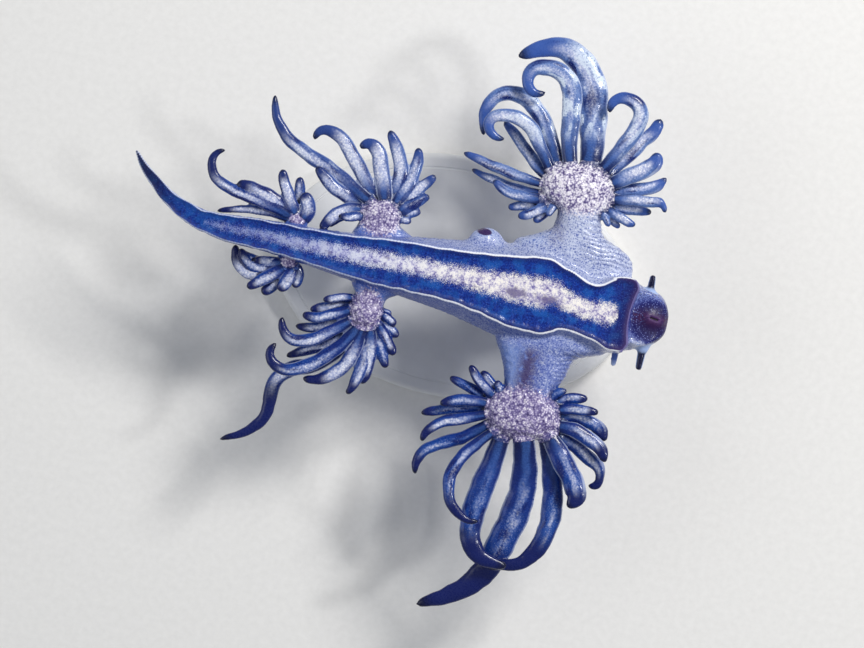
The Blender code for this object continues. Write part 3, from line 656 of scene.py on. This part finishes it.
def margin_field(points, lines):
    """Signed distance in from the foot's margin, for points about as high as the sole."""
    found = np.full(len(points), -1.0)
    high = np.flatnonzero(points[:, 2] > 11.0)
    best = np.full(len(high), 99.0)
    signed = np.full(len(high), -1.0)
    for line in lines:
        way = np.gradient(line[:, :2], axis=0)
        way /= np.linalg.norm(way, axis=1)[:, None]
        inward = np.stack([-way[:, 1], way[:, 0]], 1)
        for start in range(0, len(high), FIELD_BATCH):
            part = slice(start, start + FIELD_BATCH)
            delta = points[high[part], None, :2] - line[None, :, :2]
            far = (delta**2).sum(2)
            nearest = far.argmin(1)
            rows = np.arange(len(nearest))
            gap = np.sqrt(far[rows, nearest])
            value = (delta[rows, nearest] * inward[nearest]).sum(1)
            closer = gap < best[part]
            best[part][closer] = gap[closer]
            signed[part][closer] = (np.sign(value) * gap)[closer]
    found[high] = signed
    return found


def flesh_shells(body):
    """Closed skins of all the flesh, and the middle line and kind of each of its tubes."""
    shells, lines, kinds = [body], [], []
    for side, stations, cerata in LIMBS:
        shells.append(limb_rings(stations, side))
        out, x, height = stations[-3][:3]
        for i, row in enumerate(cerata):
            level = height + CERAS_STAGGER * (-1) ** i
            lines.append(ceras_line(row, level, np.array([x, side * out, height])))
            kinds.append(CERAS)
    for kind, feelers in ((ORAL, ORAL_TENTACLES), (RHINO, RHINOPHORES)):
        for feeler in feelers:
            lines.append(feeler_line(*feeler))
            kinds.append(kind)
    shells += [tube_rings(line) for line in lines]
    shells.append(ball_rings(PAPILLA_MIDDLE, PAPILLA_RADII))
    lips = ball_rings((*MOUTH, LIPS_HEIGHT), [size / 2 for size in LIPS_SIZE])
    lips[..., 2] -= LIPS_SLOPE * (lips[..., 0] - MOUTH[0])
    shells.append(lips)
    return shells, lines, np.array(kinds)


def softened(points, edges):
    """Corners relaxed out of the voxels' steps, and how near each is to the head."""
    points = relaxed(points, edges, 3)
    x, y, z = points.T
    near_head = smooth(13.15, 13.7, x)
    near_papilla = smooth(2.6, 1.2, np.hypot(x - 1.75, y - 3.3)) * (z < 11.6)
    points = relaxed(points, edges, 25, near_head * (np.abs(y + 0.3) < 2.6))
    points = relaxed(points, edges, 60, near_papilla)
    return bowed(points), near_head


def find_places(points, lines, kinds, margins):
    """What each corner belongs to: a tube and the place on it, the foot, its band, a pad or an arm."""
    at = SimpleNamespace()
    at.best, at.which, at.along, at.side = tube_field(points, lines)
    lengths = np.array([np.linalg.norm(np.diff(line[0][1:], axis=0), axis=1).sum() for line in lines])
    at.length = lengths[at.which]
    at.half_width = np.array([line[3].max() for line in lines])[at.which]
    at.pick = np.random.default_rng(4).random(len(lines))[at.which]
    at.kind = kinds[at.which]
    loose = 0.9 * smooth(0.45, 0.75, at.along)
    at.tube = smooth(1.5, 1.15, at.best - loose) * smooth(-0.02, 0.2, at.along * at.length)
    at.ceras = at.tube * (at.kind == CERAS)

    x, y, z = points.T
    at.pad = np.max([oval(points, *row) for row in PADS], 0)
    rows = follow(BODY, np.clip(x, BODY[0][0], BODY[-1][0]))
    foot = margin_field(points, margins)
    at.foot = np.where(rows[:, 4] - z < 0.35, foot, -1.0)
    middle, half = follow(BAND, np.clip(x, BAND[0][0], BAND[-1][0])).T
    at.band = np.where((x < BAND[0][0]) | (x > BAND[-1][0]), -1.0, half - np.abs(y - middle))
    out = np.abs(y - rows[:, 0])
    at.arm = smooth(-0.2, 0.9, out - rows[:, 2] / 2) * (x < 12.4)
    return at


def find_mouth(points, at):
    """Adds the slit of the mouth, its lips and the furrows round them to what is known."""
    u, v = points[:, 0] - MOUTH[0], points[:, 1] - MOUTH[1]
    top = smooth(10.6, 11.0, points[:, 2])
    far = np.hypot(u, v / 0.8)
    furrow = np.sin(np.arctan2(v, u) * FURROWS + lumps(points, 1.0, 16))
    at.furrow = furrow * smooth(1.7, 0.9, far) * smooth(0.25, 0.6, far) * top
    over = v + LIPS_TILT * u
    at.slit = hill(over, 0, 0.075) * smooth(0.42, 0.24, np.abs(u))
    at.mouth = at.slit * top
    at.lips = hill(over, 0, 0.24) * smooth(0.85, 0.3, np.abs(u)) * top


def relief(points, at, near_head):
    """How far each corner rises: bumps and wrinkles that are big enough to be shape."""
    bare = 1 - at.ceras
    bumps = lumps(points, 0.45, 11) * (1 - at.tube) * (at.foot < -0.05) * (1 - 0.85 * near_head)
    swell = lumps(points * (1.0, 0.45, 1.0), 0.7, 14) * smooth(0.1, 0.5, at.foot)
    rise = BUMP_RISE * (bumps + swell)
    rise += PAD_RISE * lumps(points, 0.32, 12) * smooth(-0.1, 0.2, at.pad) * bare
    rise += CERAS_RISE * lumps(points, 0.9, 13) * at.ceras
    at.wrinkle = np.sin(points[:, 1] * WRINKLE_RATE + 2.2 * lumps(points, 2.0, 15))
    at.front = smooth(8.0, 9.2, points[:, 0]) * at.arm * bare * (at.pad < -0.1)
    rise += WRINKLE_RISE * at.wrinkle * at.front
    return rise + FURROW_RISE * at.furrow + LIPS_RISE * at.lips - SLIT_DEPTH * at.mouth


def skin_values(points, at, normals):
    """The named values that the material reads at every corner."""
    x, y, z = points.T
    head = np.where((z > 9.9) & (x > 12.9), oval(points, *HEAD_DISC), -1.0)
    reach = at.along * at.length
    spread = lumps(np.stack([reach * 0.45, at.side * 0.8, at.which * 7.3], 1), 1.0, 21)
    threads = lumps(np.stack([reach * 0.8, at.side * 2.6, at.which * 7.3], 1), 1.0, 22)
    return {
        "streak": (0.22 * spread + 0.13 * threads) * at.ceras,
        # Painted shade on the skin beside and beneath the cerata.
        "ceras_shade": smooth(3.0, 1.6, at.best) * (at.kind == CERAS) * smooth(-0.7, -0.25, at.pad),
        # Painted sunlight: grows towards +Y and the front; colours are painted lighter where it is high
        # and darker where it is low.
        "sunny": smooth(-5.0, 14.0, 0.35 * x + y),
        "armside": (x - 6.9) / 1.7,
        "rearward": smooth(3.0, -9.0, x),
        "faded": smooth(-5.0, -16.0, x),
        "ceras": at.ceras,
        "along": at.along,
        "across": np.abs(at.side) * at.tube,
        "pick": at.pick,
        "long": smooth(4.0, 14.0, at.length),
        "broad": smooth(0.42, 0.62, at.half_width) * at.ceras,
        "oral": at.tube * (at.kind == ORAL),
        "rhino": at.tube * (at.kind == RHINO),
        "pad": np.clip(at.pad, -2, 1),
        "arm": at.arm,
        "midarm": hill(x, 6.5, 0.75) * at.arm,
        "foot": at.foot * (1 - at.tube) - at.tube,
        "band": at.band,
        "lobe": smooth(10.8, 12.8, x),
        "front": smooth(12.55, 12.85, x),
        "ridge": hill(at.side, 0.12, 0.55) * at.ceras,
        "tail": smooth(-19.5, -23.5, x),
        "head": head * (1 - at.tube) - at.tube,
        "mouth": at.mouth,
        "lips": at.lips * (1 - at.slit),
        "gape": hill(y, -0.15, 0.45) * smooth(12.9, 13.4, x),
        "cheek": smudge(points, *CHEEK),
        # Painted shade in the troughs of the arms' wrinkles.
        "trough_shade": smooth(-0.1, -0.9, at.wrinkle) * at.front,
        "spot": np.where(z > 10.2, oval(points, *SPOT), -1.0),
        # Painted shade in creases and between cerata, from how deep each corner lies.
        "crease": at.crease,
        "under": smooth(0.1, -0.6, normals[:, 2]),
        # Painted shade on faces turned away from above.
        "turned": smooth(0.97, 0.5, normals[:, 2]),
        "mottle": sum(smudge(points, *row) for row in SMUDGES),
    }


def build_skin():
    """One skin over all the flesh, with named values at every corner for its material."""
    rear = np.arange(BODY[0][0] + 0.02, FRONT_START, BODY_STEP)
    places = np.append(rear, np.arange(FRONT_START, BODY[-1][0], FRONT_STEP))
    body, margins = body_rings(places)
    shells, lines, kinds = flesh_shells(body)
    skin = remeshed(mesh_object("skin", shells), VOXEL)
    mesh = skin.data
    edges = read(mesh.edges, "vertices", 2, int)
    points, near_head = softened(read(mesh.vertices, "co", 3), edges)
    at = find_places(points, lines, kinds, margin_lines(places, margins))
    find_mouth(points, at)

    soft = relaxed(points, edges, 14)
    mesh.vertices.foreach_set("co", points.ravel())
    mesh.update()
    normals = read(mesh.vertices, "normal", 3)
    # How deep each corner lies below its smoothed neighbours, for painted shade in creases.
    at.crease = ((soft - points) * normals).sum(1)
    points = points + normals * relief(points, at, near_head)[:, None]

    mesh.vertices.foreach_set("co", (points * MM).ravel())
    for name, value in skin_values(points, at, normals).items():
        layer = mesh.attributes.new(name, "FLOAT", "POINT")
        layer.data.foreach_set("value", np.asarray(value, np.float32))
    mesh.shade_smooth()
    mesh.update()
    return skin


# Materials, made of nodes.


def rgb(code):
    """A linear colour from a six-digit code."""
    shares = [int(code[i : i + 2], 16) / 255 for i in (0, 2, 4)]
    return [(s / 12.92 if s <= 0.04045 else ((s + 0.055) / 1.055) ** 2.4) for s in shares] + [1.0]


class Look:
    """A material, with short ways to add its nodes. Its values can be given by name."""

    def __init__(self, name, **fixed):
        """A new material, with some of its shader's sockets set."""
        self.material = bpy.data.materials.new(name)
        self.material.use_nodes = True
        self.tree = self.material.node_tree
        self.shader = self.tree.nodes["Principled BSDF"]
        for socket, value in fixed.items():
            self.shader.inputs[socket.replace("_", " ")].default_value = value
        place = self.node("TexCoord", output="Object")
        self.mm = self.node("VectorMath", place, operation="SCALE", Scale=1000.0)
        self.values = {}

    def value(self, name):
        """A value by name: one kept in values, or else the skin's attribute."""
        if name not in self.values:
            self.values[name] = self.node("Attribute", attribute_name=name, output="Fac")
        return self.values[name]

    def give(self, socket, value):
        """Links or sets a socket; text is a colour's code, or else the name of a value."""
        if isinstance(value, str):
            value = rgb(value) if socket.type == "RGBA" else self.value(value)
        if isinstance(value, bpy.types.NodeSocket):
            self.tree.links.new(value, socket)
        elif value is not None:
            socket.default_value = value

    def node(self, kind, *values, output=0, **named):
        """A new node's output; lower-case names are settings, and others are sockets."""
        node = self.tree.nodes.new("ShaderNode" + kind)
        for name, value in named.items():
            if name[0].islower():
                setattr(node, name, value)
        for socket, value in zip(node.inputs, values):
            self.give(socket, value)
        for name, value in named.items():
            if not name[0].islower():
                self.give(node.inputs[name], value)
        return node.outputs[output]

    def maths(self, operation, a, b):
        """The result of an operation on two values or numbers."""
        return self.node("Math", a, b, operation=operation)

    def times(self, a, b):
        """The product of two."""
        return self.maths("MULTIPLY", a, b)

    def plus(self, a, b):
        """The sum of two."""
        return self.maths("ADD", a, b)

    def total(self, start=0, **shares):
        """A number with shares of named values added to it."""
        for name, share in shares.items():
            start = self.plus(start, self.times(name, share))
        return start

    def soft(self, value, low, high):
        """Rises softly from 0 at low to 1 at high; low may be the larger."""
        return self.node("MapRange", value, low, high, interpolation_type="SMOOTHSTEP")

    def spread(self, value, *ends):
        """Moves a value evenly from one range to another."""
        return self.node("MapRange", value, *ends)

    def noise(self, scale, detail=3.0, rough=0.55, at=None):
        """Cloudy noise, that many clouds to the mm."""
        place = at or self.mm
        return self.node("TexNoise", Vector=place, Scale=scale, Detail=detail, Roughness=rough)

    def cells(self, scale):
        """Distance to the nearest of scattered points, that many to the mm."""
        return self.node("TexVoronoi", Vector=self.mm, Scale=scale)

    def ramp(self, value, *stops):
        """A colour for each place on a scale of 0 to 1."""
        node = self.tree.nodes.new("ShaderNodeValToRGB")
        elements = node.color_ramp.elements
        while len(elements) < len(stops):
            elements.new(0.5)
        for element, (place, code) in zip(elements, stops):
            element.position = place
            element.color = rgb(code)
        self.give(node.inputs[0], value)
        return node.outputs[0]

    def mix(self, share, a, b, blend="MIX"):
        """The first colour with a share of the second in it."""
        node = self.tree.nodes.new("ShaderNodeMix")
        node.data_type = "RGBA"
        node.blend_type = blend
        for socket, value in ((0, share), (6, a), (7, b)):
            self.give(node.inputs[socket], value)
        return node.outputs[2]

    def layers(self, colour, *rows):
        """A colour with others laid over it: where, how strong, and the colour."""
        for place, strength, over in rows:
            share = place if strength == 1 else self.times(place, strength)
            colour = self.mix(share, colour, over)
        return colour

    def finish(self, colour, roughness=None, bumps=()):
        """Links colour, roughness and a chain of bumps: height, strength and depth in mm."""
        self.give(self.shader.inputs["Base Color"], colour)
        self.give(self.shader.inputs["Roughness"], roughness)
        normal = None
        for height, strength, depth in bumps:
            depth *= MM
            normal = self.node("Bump", Strength=strength, Distance=depth, Height=height, Normal=normal)
        self.give(self.shader.inputs["Normal"], normal)
        return self.material


def flank_colour(k):
    """Flanks and arms: lavender clouds and dark specks, painted lighter towards the sun, painted shade in
    creases, wrinkle troughs, on faces turned from above and beside the cerata, and a pale cheek.
    """
    cloud = k.total(dust=0.7, fine=0.35, patch=0.3)
    # Pale patches painted towards the sun: painted sunlight.
    sunlit_patches = k.times(k.soft(k.total(dust=1, wavy=1), 0.24, 0.58), "sunny")
    middle = k.times("midarm", k.soft("patch", 0.25, 0.5))
    density = k.total(midarm=0.34, wide=0.2, patch=0.2)
    dark = k.soft(k.total(speck=1, dust=0.35), density, k.plus(density, -0.14))
    face = k.soft("head", -0.75, -0.1)
    return k.layers(
        k.ramp(cloud, (0.5, "3d519f"), (0.64, "6072b8"), (0.76, "8f9ccc"), (0.9, "d5daec")),
        ("rearward", 0.75, "2650b4"),
        (k.times(k.soft("armside", -0.15, -0.75), "arm"), 0.6, "7c9ce0"),
        # Painted shade: bluer and darker where the flank turns away from above.
        ("turned", 0.55, "2c4898"),
        (sunlit_patches, 0.9, "dde4f3"),
        # The arms' violet middle and the dark specks are painted fainter in the sun: painted sunlight.
        (middle, k.total(0.95, sunny=-0.8), "463b68"),
        (dark, k.total(0.8, sunny=-0.35), "3a3062"),
        (k.soft("speck", 0.16, 0.07), 0.7, "e9ecf8"),
        # Painted shade in creases.
        (k.soft("crease", 0.03, 0.1), 1, "2a3876"),
        # Painted shade in the troughs of the arms' wrinkles.
        ("trough_shade", 0.45, "33458a"),
        ("under", 0.6, "a9afc2"),
        (face, 0.8, k.mix(k.soft("dust", 0.4, 0.62), "223076", "5f76c6")),
        (face, "cheek", k.mix(k.soft("dust", 0.28, 0.52), "7f9fe6", "e8eefc")),
        # Painted shade: dark navy on the skin beside and beneath the cerata.
        ("ceras_shade", 0.85, "17235e"),
    )


def pad_colour(k):
    """Pads: packed pale granules with violet between them, painted paler in the sun."""
    tone = k.total(grain=0.62, wavy=-0.55, uneven=-0.9)
    pad = k.ramp(tone, (0.03, "f2edf5"), (0.22, "b0a6c8"), (0.42, "74699c"), (0.7, "3a3064"))
    # Painted sunlight: the pads' darker parts are paler on the sunny side.
    return k.mix(k.times("sunny", k.soft(tone, 0.55, 0.05)), pad, "f3f0f6")


def ceras_colour(k):
    """Cerata: blue with pearly frost along the ridge, a pale rim on broad ones, and navy tips, painted
    lighter with painted glare in the sun, and painted shade in creases.
    """
    sparks = k.times(k.soft(k.cells(10.5), 0.3, 0.12), k.soft("along", 0.2, 0.45))
    # Long cerata away from the sun are painted shaded, and frost is painted more in the sun: painted light
    # and shade.
    k.values["shaded"] = k.times("long", k.total(1, sunny=-0.8))
    frost = k.total(streak=0.7, wavy=0.9, pick=0.4, ridge=0.75, shaded=-0.25, sunny=0.22, rearward=0.3)
    frost = k.times(k.soft(frost, 0.56, 1.34), k.soft("along", 0.1, 0.42))
    pearly = k.total(grain=0.6, wavy=-0.5)
    pearl = k.ramp(pearly, (0.05, "f4f5fc"), (0.32, "c6cce6"), (0.7, "7b8cc4"))
    inner = k.times(k.soft("along", 0.1, 0.26), k.soft("along", 0.78, 0.56))
    # Painted glare on long cerata in the sun.
    glare = k.times(k.times(k.soft("streak", 0.02, 0.16), inner), k.times("sunny", "long"))
    end = k.total(along=1, pick=0.08, wavy=0.1, shaded=0.2)
    return k.layers(
        k.ramp("along", (0.0, "071444"), (0.22, "0e2c7c"), (0.6, "144296"), (1.0, "0e2a72")),
        # Painted sunlight: lighter blue near the roots on the sunny side.
        (k.times("sunny", k.soft("along", 0.0, 0.3)), 0.72, "708ec8"),
        (k.soft("fine", 0.56, 0.36), 0.3, "12225e"),
        (k.soft(k.total(ridge=1, streak=0.8), 0.35, 1.0), k.times("dust", 0.75), "4a76c6"),
        (k.soft("streak", -0.04, -0.34), k.soft("along", 0.1, 0.4), "0c1f66"),
        (sparks, k.times("ridge", 0.8), "bccaf0"),
        (frost, k.soft("ridge", 0.03, 0.3), pearl),
        (glare, k.soft("wavy", -0.22, 0.02), "dbe8f7"),
        (k.times(k.soft("across", 0.8, 0.98), "broad"), 0.8, "b4bfdd"),
        (k.soft("speck", 0.18, 0.09), 0.5, "141d50"),
        # Painted shade in creases between cerata.
        (k.soft("crease", 0.01, 0.05), 1, "0c133c"),
        # Navy tips, painted lighter on the sunny side.
        (k.soft(end, 0.74, 0.92), 1, k.mix("sunny", "0f1c5c", "3c5ca8")),
        (k.soft("along", 0.9, 0.985), 0.9, "070b2a"),
    )


def silver_colour(k):
    """The foot's band: silver with violet blotches and smudges, bluer towards the tail."""
    shine = k.total(patch=0.8, spray=0.5, grain=-0.25)
    silver = k.ramp(shine, (0.3, "6e68a2"), (0.42, "b0a9ca"), (0.5, "ddd8e4"), (0.62, "fdf8f1"))
    mottle = k.total(mottle=1, wavy=1, uneven=1.6)
    return k.layers(
        k.mix(k.times("rearward", 0.6), silver, "c8d6ff", "MULTIPLY"),
        ("faded", 0.5, "7890d8"),
        (k.times(k.soft(k.noise(1.5, 2.0), 0.58, 0.7), k.soft("band", 0.75, 0.35)), 0.6, "544880"),
        (k.soft(mottle, 0.32, 0.9), 0.85, "5a4e86"),
    )


def foot_colour(k):
    """Foot: cobalt blue, violet at the front and navy at the tail, painted darker away from the sun, with
    its silver band.
    """
    ragged = k.total(-0.85, band=1, spray=1.7, uneven=0.5)
    return k.layers(
        k.ramp("fine", (0.3, "08195f"), (0.5, "0b3092"), (0.72, "1350ba")),
        (k.soft("wide", 0.42, 0.68), 0.55, "1c6cc8"),
        # Painted shade: darker blue away from the sun.
        (k.total(1, sunny=-1), 0.28, "061350"),
        ("lobe", 0.7, "1b1650"),
        (k.soft("foot", 0.55, 0.05), k.total(0.8, rearward=-0.6), "0e195a"),
        ("lobe", k.soft("foot", 0.6, 0.05), "33225e"),
        ("tail", 0.75, "070a24"),
        (k.soft("speck", 0.19, 0.07), 0.7, "7f9fe4"),
        (k.soft(ragged, -0.14, 0.36), k.total(1, faded=-0.45), silver_colour(k)),
    )


def margin_layer(k):
    """The foot's pale margin, violet across the front and bluer towards the tail."""
    thin = k.total(foot=1, rearward=0.03)
    line = k.times(k.soft("foot", -0.08, -0.02), k.soft(thin, 0.135, 0.07))
    colour = k.mix("front", k.mix("rearward", "f4f6fd", "d3dcf6"), "6f679e")
    return line, k.total(0.95, faded=-0.2), colour


def head_colour(k, edge):
    """Head: a violet disc with pale specks towards its edge, paler lips and a dark mouth."""
    pearl = k.soft(k.total(speck=1, wavy=0.5), 0.38, 0.16)
    return k.layers(
        k.ramp("head", (0.0, "26348c"), (0.25, "151860"), (0.6, "190f48"), (1.0, "2e1444")),
        ("gape", k.soft("fine", 0.3, 0.6), "3c1846"),
        (k.times(pearl, k.soft(edge, 0.8, 0.1)), 0.85, "8a98de"),
        (k.soft(k.cells(10.5), 0.16, 0.08), 0.5, "7a6aa8"),
        ("lips", k.soft("fine", 0.25, 0.6), "5a3d74"),
        (k.soft("mouth", 0.35, 0.75), 1, "06030a"),
    )


def skin_look():
    """Wet flesh: lavender flanks, blue foot with a silver band, frosted blue cerata."""
    k = Look("wet_skin", IOR=1.34, Coat_Weight=0.5, Coat_Roughness=0.09, Coat_IOR=1.38)
    k.values.update(
        fine=k.noise(6.5, 4.0, 0.62),
        wide=k.noise(1.1),
        patch=k.noise(2.2),
        spray=k.noise(13.0, 3.0, 0.7),
        dust=k.noise(10.0, 2.0, 0.6),
        grain=k.cells(6.5),
        speck=k.cells(8.5),
    )
    k.values["wavy"] = k.plus("fine", -0.5)
    k.values["uneven"] = k.plus("patch", -0.5)

    pad_edge = k.total(pad=1, wavy=1.3)
    head_edge = k.total(head=1, wavy=0.5)
    core = k.times(k.soft("across", 0.92, 0.6), k.soft("along", 0.47, 0.6))
    rhino = k.ramp("along", (0.4, "2e3f86"), (0.75, "4a66b0"), (1.0, "c4d4f4"))
    skin = k.layers(
        flank_colour(k),
        (k.soft(pad_edge, -0.28, 0.04), 1, pad_colour(k)),
        (k.soft("ceras", 0.25, 0.75), 1, ceras_colour(k)),
        (k.soft("foot", -0.02, 0.04), 1, foot_colour(k)),
        margin_layer(k),
        (k.soft(head_edge, -0.08, 0.22), 1, head_colour(k, head_edge)),
        (k.soft("oral", 0.3, 0.8), 1, k.mix(core, "9db4e2", "0a0f36")),
        (k.soft("rhino", 0.3, 0.8), 1, rhino),
        (k.soft("spot", 0.0, 0.25), 1, "3a2858"),
    )

    # Less gloss at the foot's edge and on the head, and lower bumps on the head.
    edge = k.times(k.soft("foot", -0.2, -0.05), k.soft("foot", 0.5, 0.2))
    k.values["dull"] = k.maths("MAXIMUM", edge, k.times(k.soft("head", -0.1, 0.5), 0.75))
    roughness = k.plus(k.spread("fine", 0.3, 0.75, 0.18, 0.42), k.times("dull", 0.25))
    k.give(k.shader.inputs["Coat Weight"], k.total(0.5, dull=-0.55))
    calm = k.plus(k.times(k.soft("head", 0.5, -0.1), 0.75), 0.25)
    height = k.times(k.total(grain=-0.7, fine=0.6), calm)
    return k.finish(skin, roughness, ((k.noise(2.4, 2.0), 0.3, 0.05), (height, 0.45, 0.035)))


def base_look():
    """Satin pale grey plastic."""
    k = Look("base_satin", IOR=1.45)
    grain = k.noise(9.0, 4.0)
    colour = k.ramp(k.noise(0.35), (0.3, "d9dadb"), (0.7, "e6e7e7"))
    return k.finish(colour, k.spread(grain, 0.3, 0.7, 0.34, 0.46), ((grain, 0.25, 0.02),))


def rod_look():
    """Turned steel, with its grain drawn out along the rod."""
    k = Look("rod_steel", Metallic=1.0)
    stretched = k.node("VectorMath", k.mm, (8.0, 8.0, 0.6), operation="MULTIPLY")
    turned = k.noise(1.0, 4.0, at=stretched)
    colour = k.ramp(turned, (0.3, "b4b5b8"), (0.7, "cfd0d2"))
    return k.finish(colour, k.spread(turned, 0.3, 0.7, 0.22, 0.34), ((turned, 0.15, 0.01),))


def floor_look():
    """Plain pale paper."""
    k = Look("floor_paper")
    grain = k.noise(2.0, 5.0)
    return k.finish(k.ramp(grain, (0.3, "e9e8e5"), (0.7, "efeeeb")), 0.9, ((grain, 0.1, 0.05),))


# The stand.


def turned_rings(levels, middle, radii, sides):
    """Rings of an oval turned piece, from heights and insets."""
    c, s = circle(sides)
    rings = []
    for height, inset in levels:
        x = middle[0] + (radii[0] - inset) * c
        y = middle[1] + (radii[1] - inset) * s
        rings.append(np.stack([x, y, np.full(sides, height)], 1))
    return np.array(rings)


def build_base():
    """The oval base, with bent edges and a fine groove in its top."""
    turns = np.linspace(0, math.pi / 2, 9)
    bend = [(BASE_BEND * (1 - math.cos(a)), BASE_BEND * (1 - math.sin(a))) for a in turns]
    top, groove = BASE_HEIGHT, BASE_HEIGHT - GROOVE_DEPTH
    levels = bend + [(top - height, inset) for height, inset in bend[::-1]]
    levels += [(top, 1.0), (groove, 1.04), (groove, 1.14), (top, 1.18), (top, 4.0)]
    base = mesh_object("base", [turned_rings(levels, (0, 0), BASE_RADII, 192)], MM)
    base.data.materials.append(base_look())
    base.data.shade_smooth()
    base.data.set_sharp_from_angle(angle=math.radians(35))
    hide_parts("stand_base")
    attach(base, "root")


def build_rods():
    """Two rods up into the animal, each with a collar on the base."""
    steel = rod_look()
    for name, (x, y) in RODS.items():
        thickness, sole = follow(BODY, x)[0][3:5]
        top = sole - thickness + 0.35
        levels = [(1.9, -0.4), (2.3, -0.4), (2.42, -0.34), (2.46, -0.22), (2.5, 0.0)]
        levels += [(top - 1.1, 0.0), (top - 0.75, -0.05), (top - 0.45, -0.3), (top, -0.32)]
        rings = turned_rings(levels, (x, y), (ROD_RADIUS, ROD_RADIUS), RING_SIDES)
        rod = mesh_object(f"rod_{name}", [rings], MM)
        rod.data.materials.append(steel)
        rod.data.shade_smooth()
        rod.data.set_sharp_from_angle(angle=math.radians(40))
        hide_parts(f"stand_rod_{name}")
        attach(rod, "root")


# Floor, light and camera, in metres.


def build_floor():
    """A wide pale floor."""
    far = FLOOR_HALF
    mesh = bpy.data.meshes.new("floor")
    mesh.from_pydata([(-far, -far, 0), (far, -far, 0), (far, far, 0), (-far, far, 0)], [], [(0, 1, 2, 3)])
    mesh.materials.append(floor_look())
    floor = add_object("floor", mesh)


def area_light(name, place, size, power, colour):
    """A soft square light aimed at the slug."""
    light = bpy.data.lights.new(name, "AREA")
    light.size = size
    light.energy = power
    light.color = colour
    lamp = add_object(name, light)
    lamp.location = place
    lamp.rotation_euler = (Vector((0, 0, 0.01)) - Vector(place)).to_track_quat("-Z", "Y").to_euler()


def build_studio():
    """The floor, soft lights, and the camera of the photo, straight above."""
    build_floor()
    for name, light in LIGHTS.items():
        area_light(name, *light)
    world = bpy.data.worlds.new("studio")
    world.use_nodes = True
    sky = world.node_tree.nodes["Background"].inputs
    sky["Color"].default_value = WORLD_COLOUR
    sky["Strength"].default_value = WORLD_STRENGTH
    camera = add_object("camera", bpy.data.cameras.new("camera"))
    camera.data.sensor_width = 36.0
    camera.data.lens = CAMERA_LENS
    camera.data.clip_start = 0.01
    camera.location = CAMERA_PLACE
    camera.rotation_euler = (0, 0, math.radians(CAMERA_TURN))
    scene = bpy.context.scene
    scene.world = world
    scene.camera = camera
    scene.view_settings.view_transform = "Standard"


FLESH = [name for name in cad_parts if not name.startswith("stand_")]

build_studio()
build_base()
build_rods()
skin = build_skin()
skin.data.materials.append(skin_look())
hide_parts(*FLESH)
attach(skin, "root")
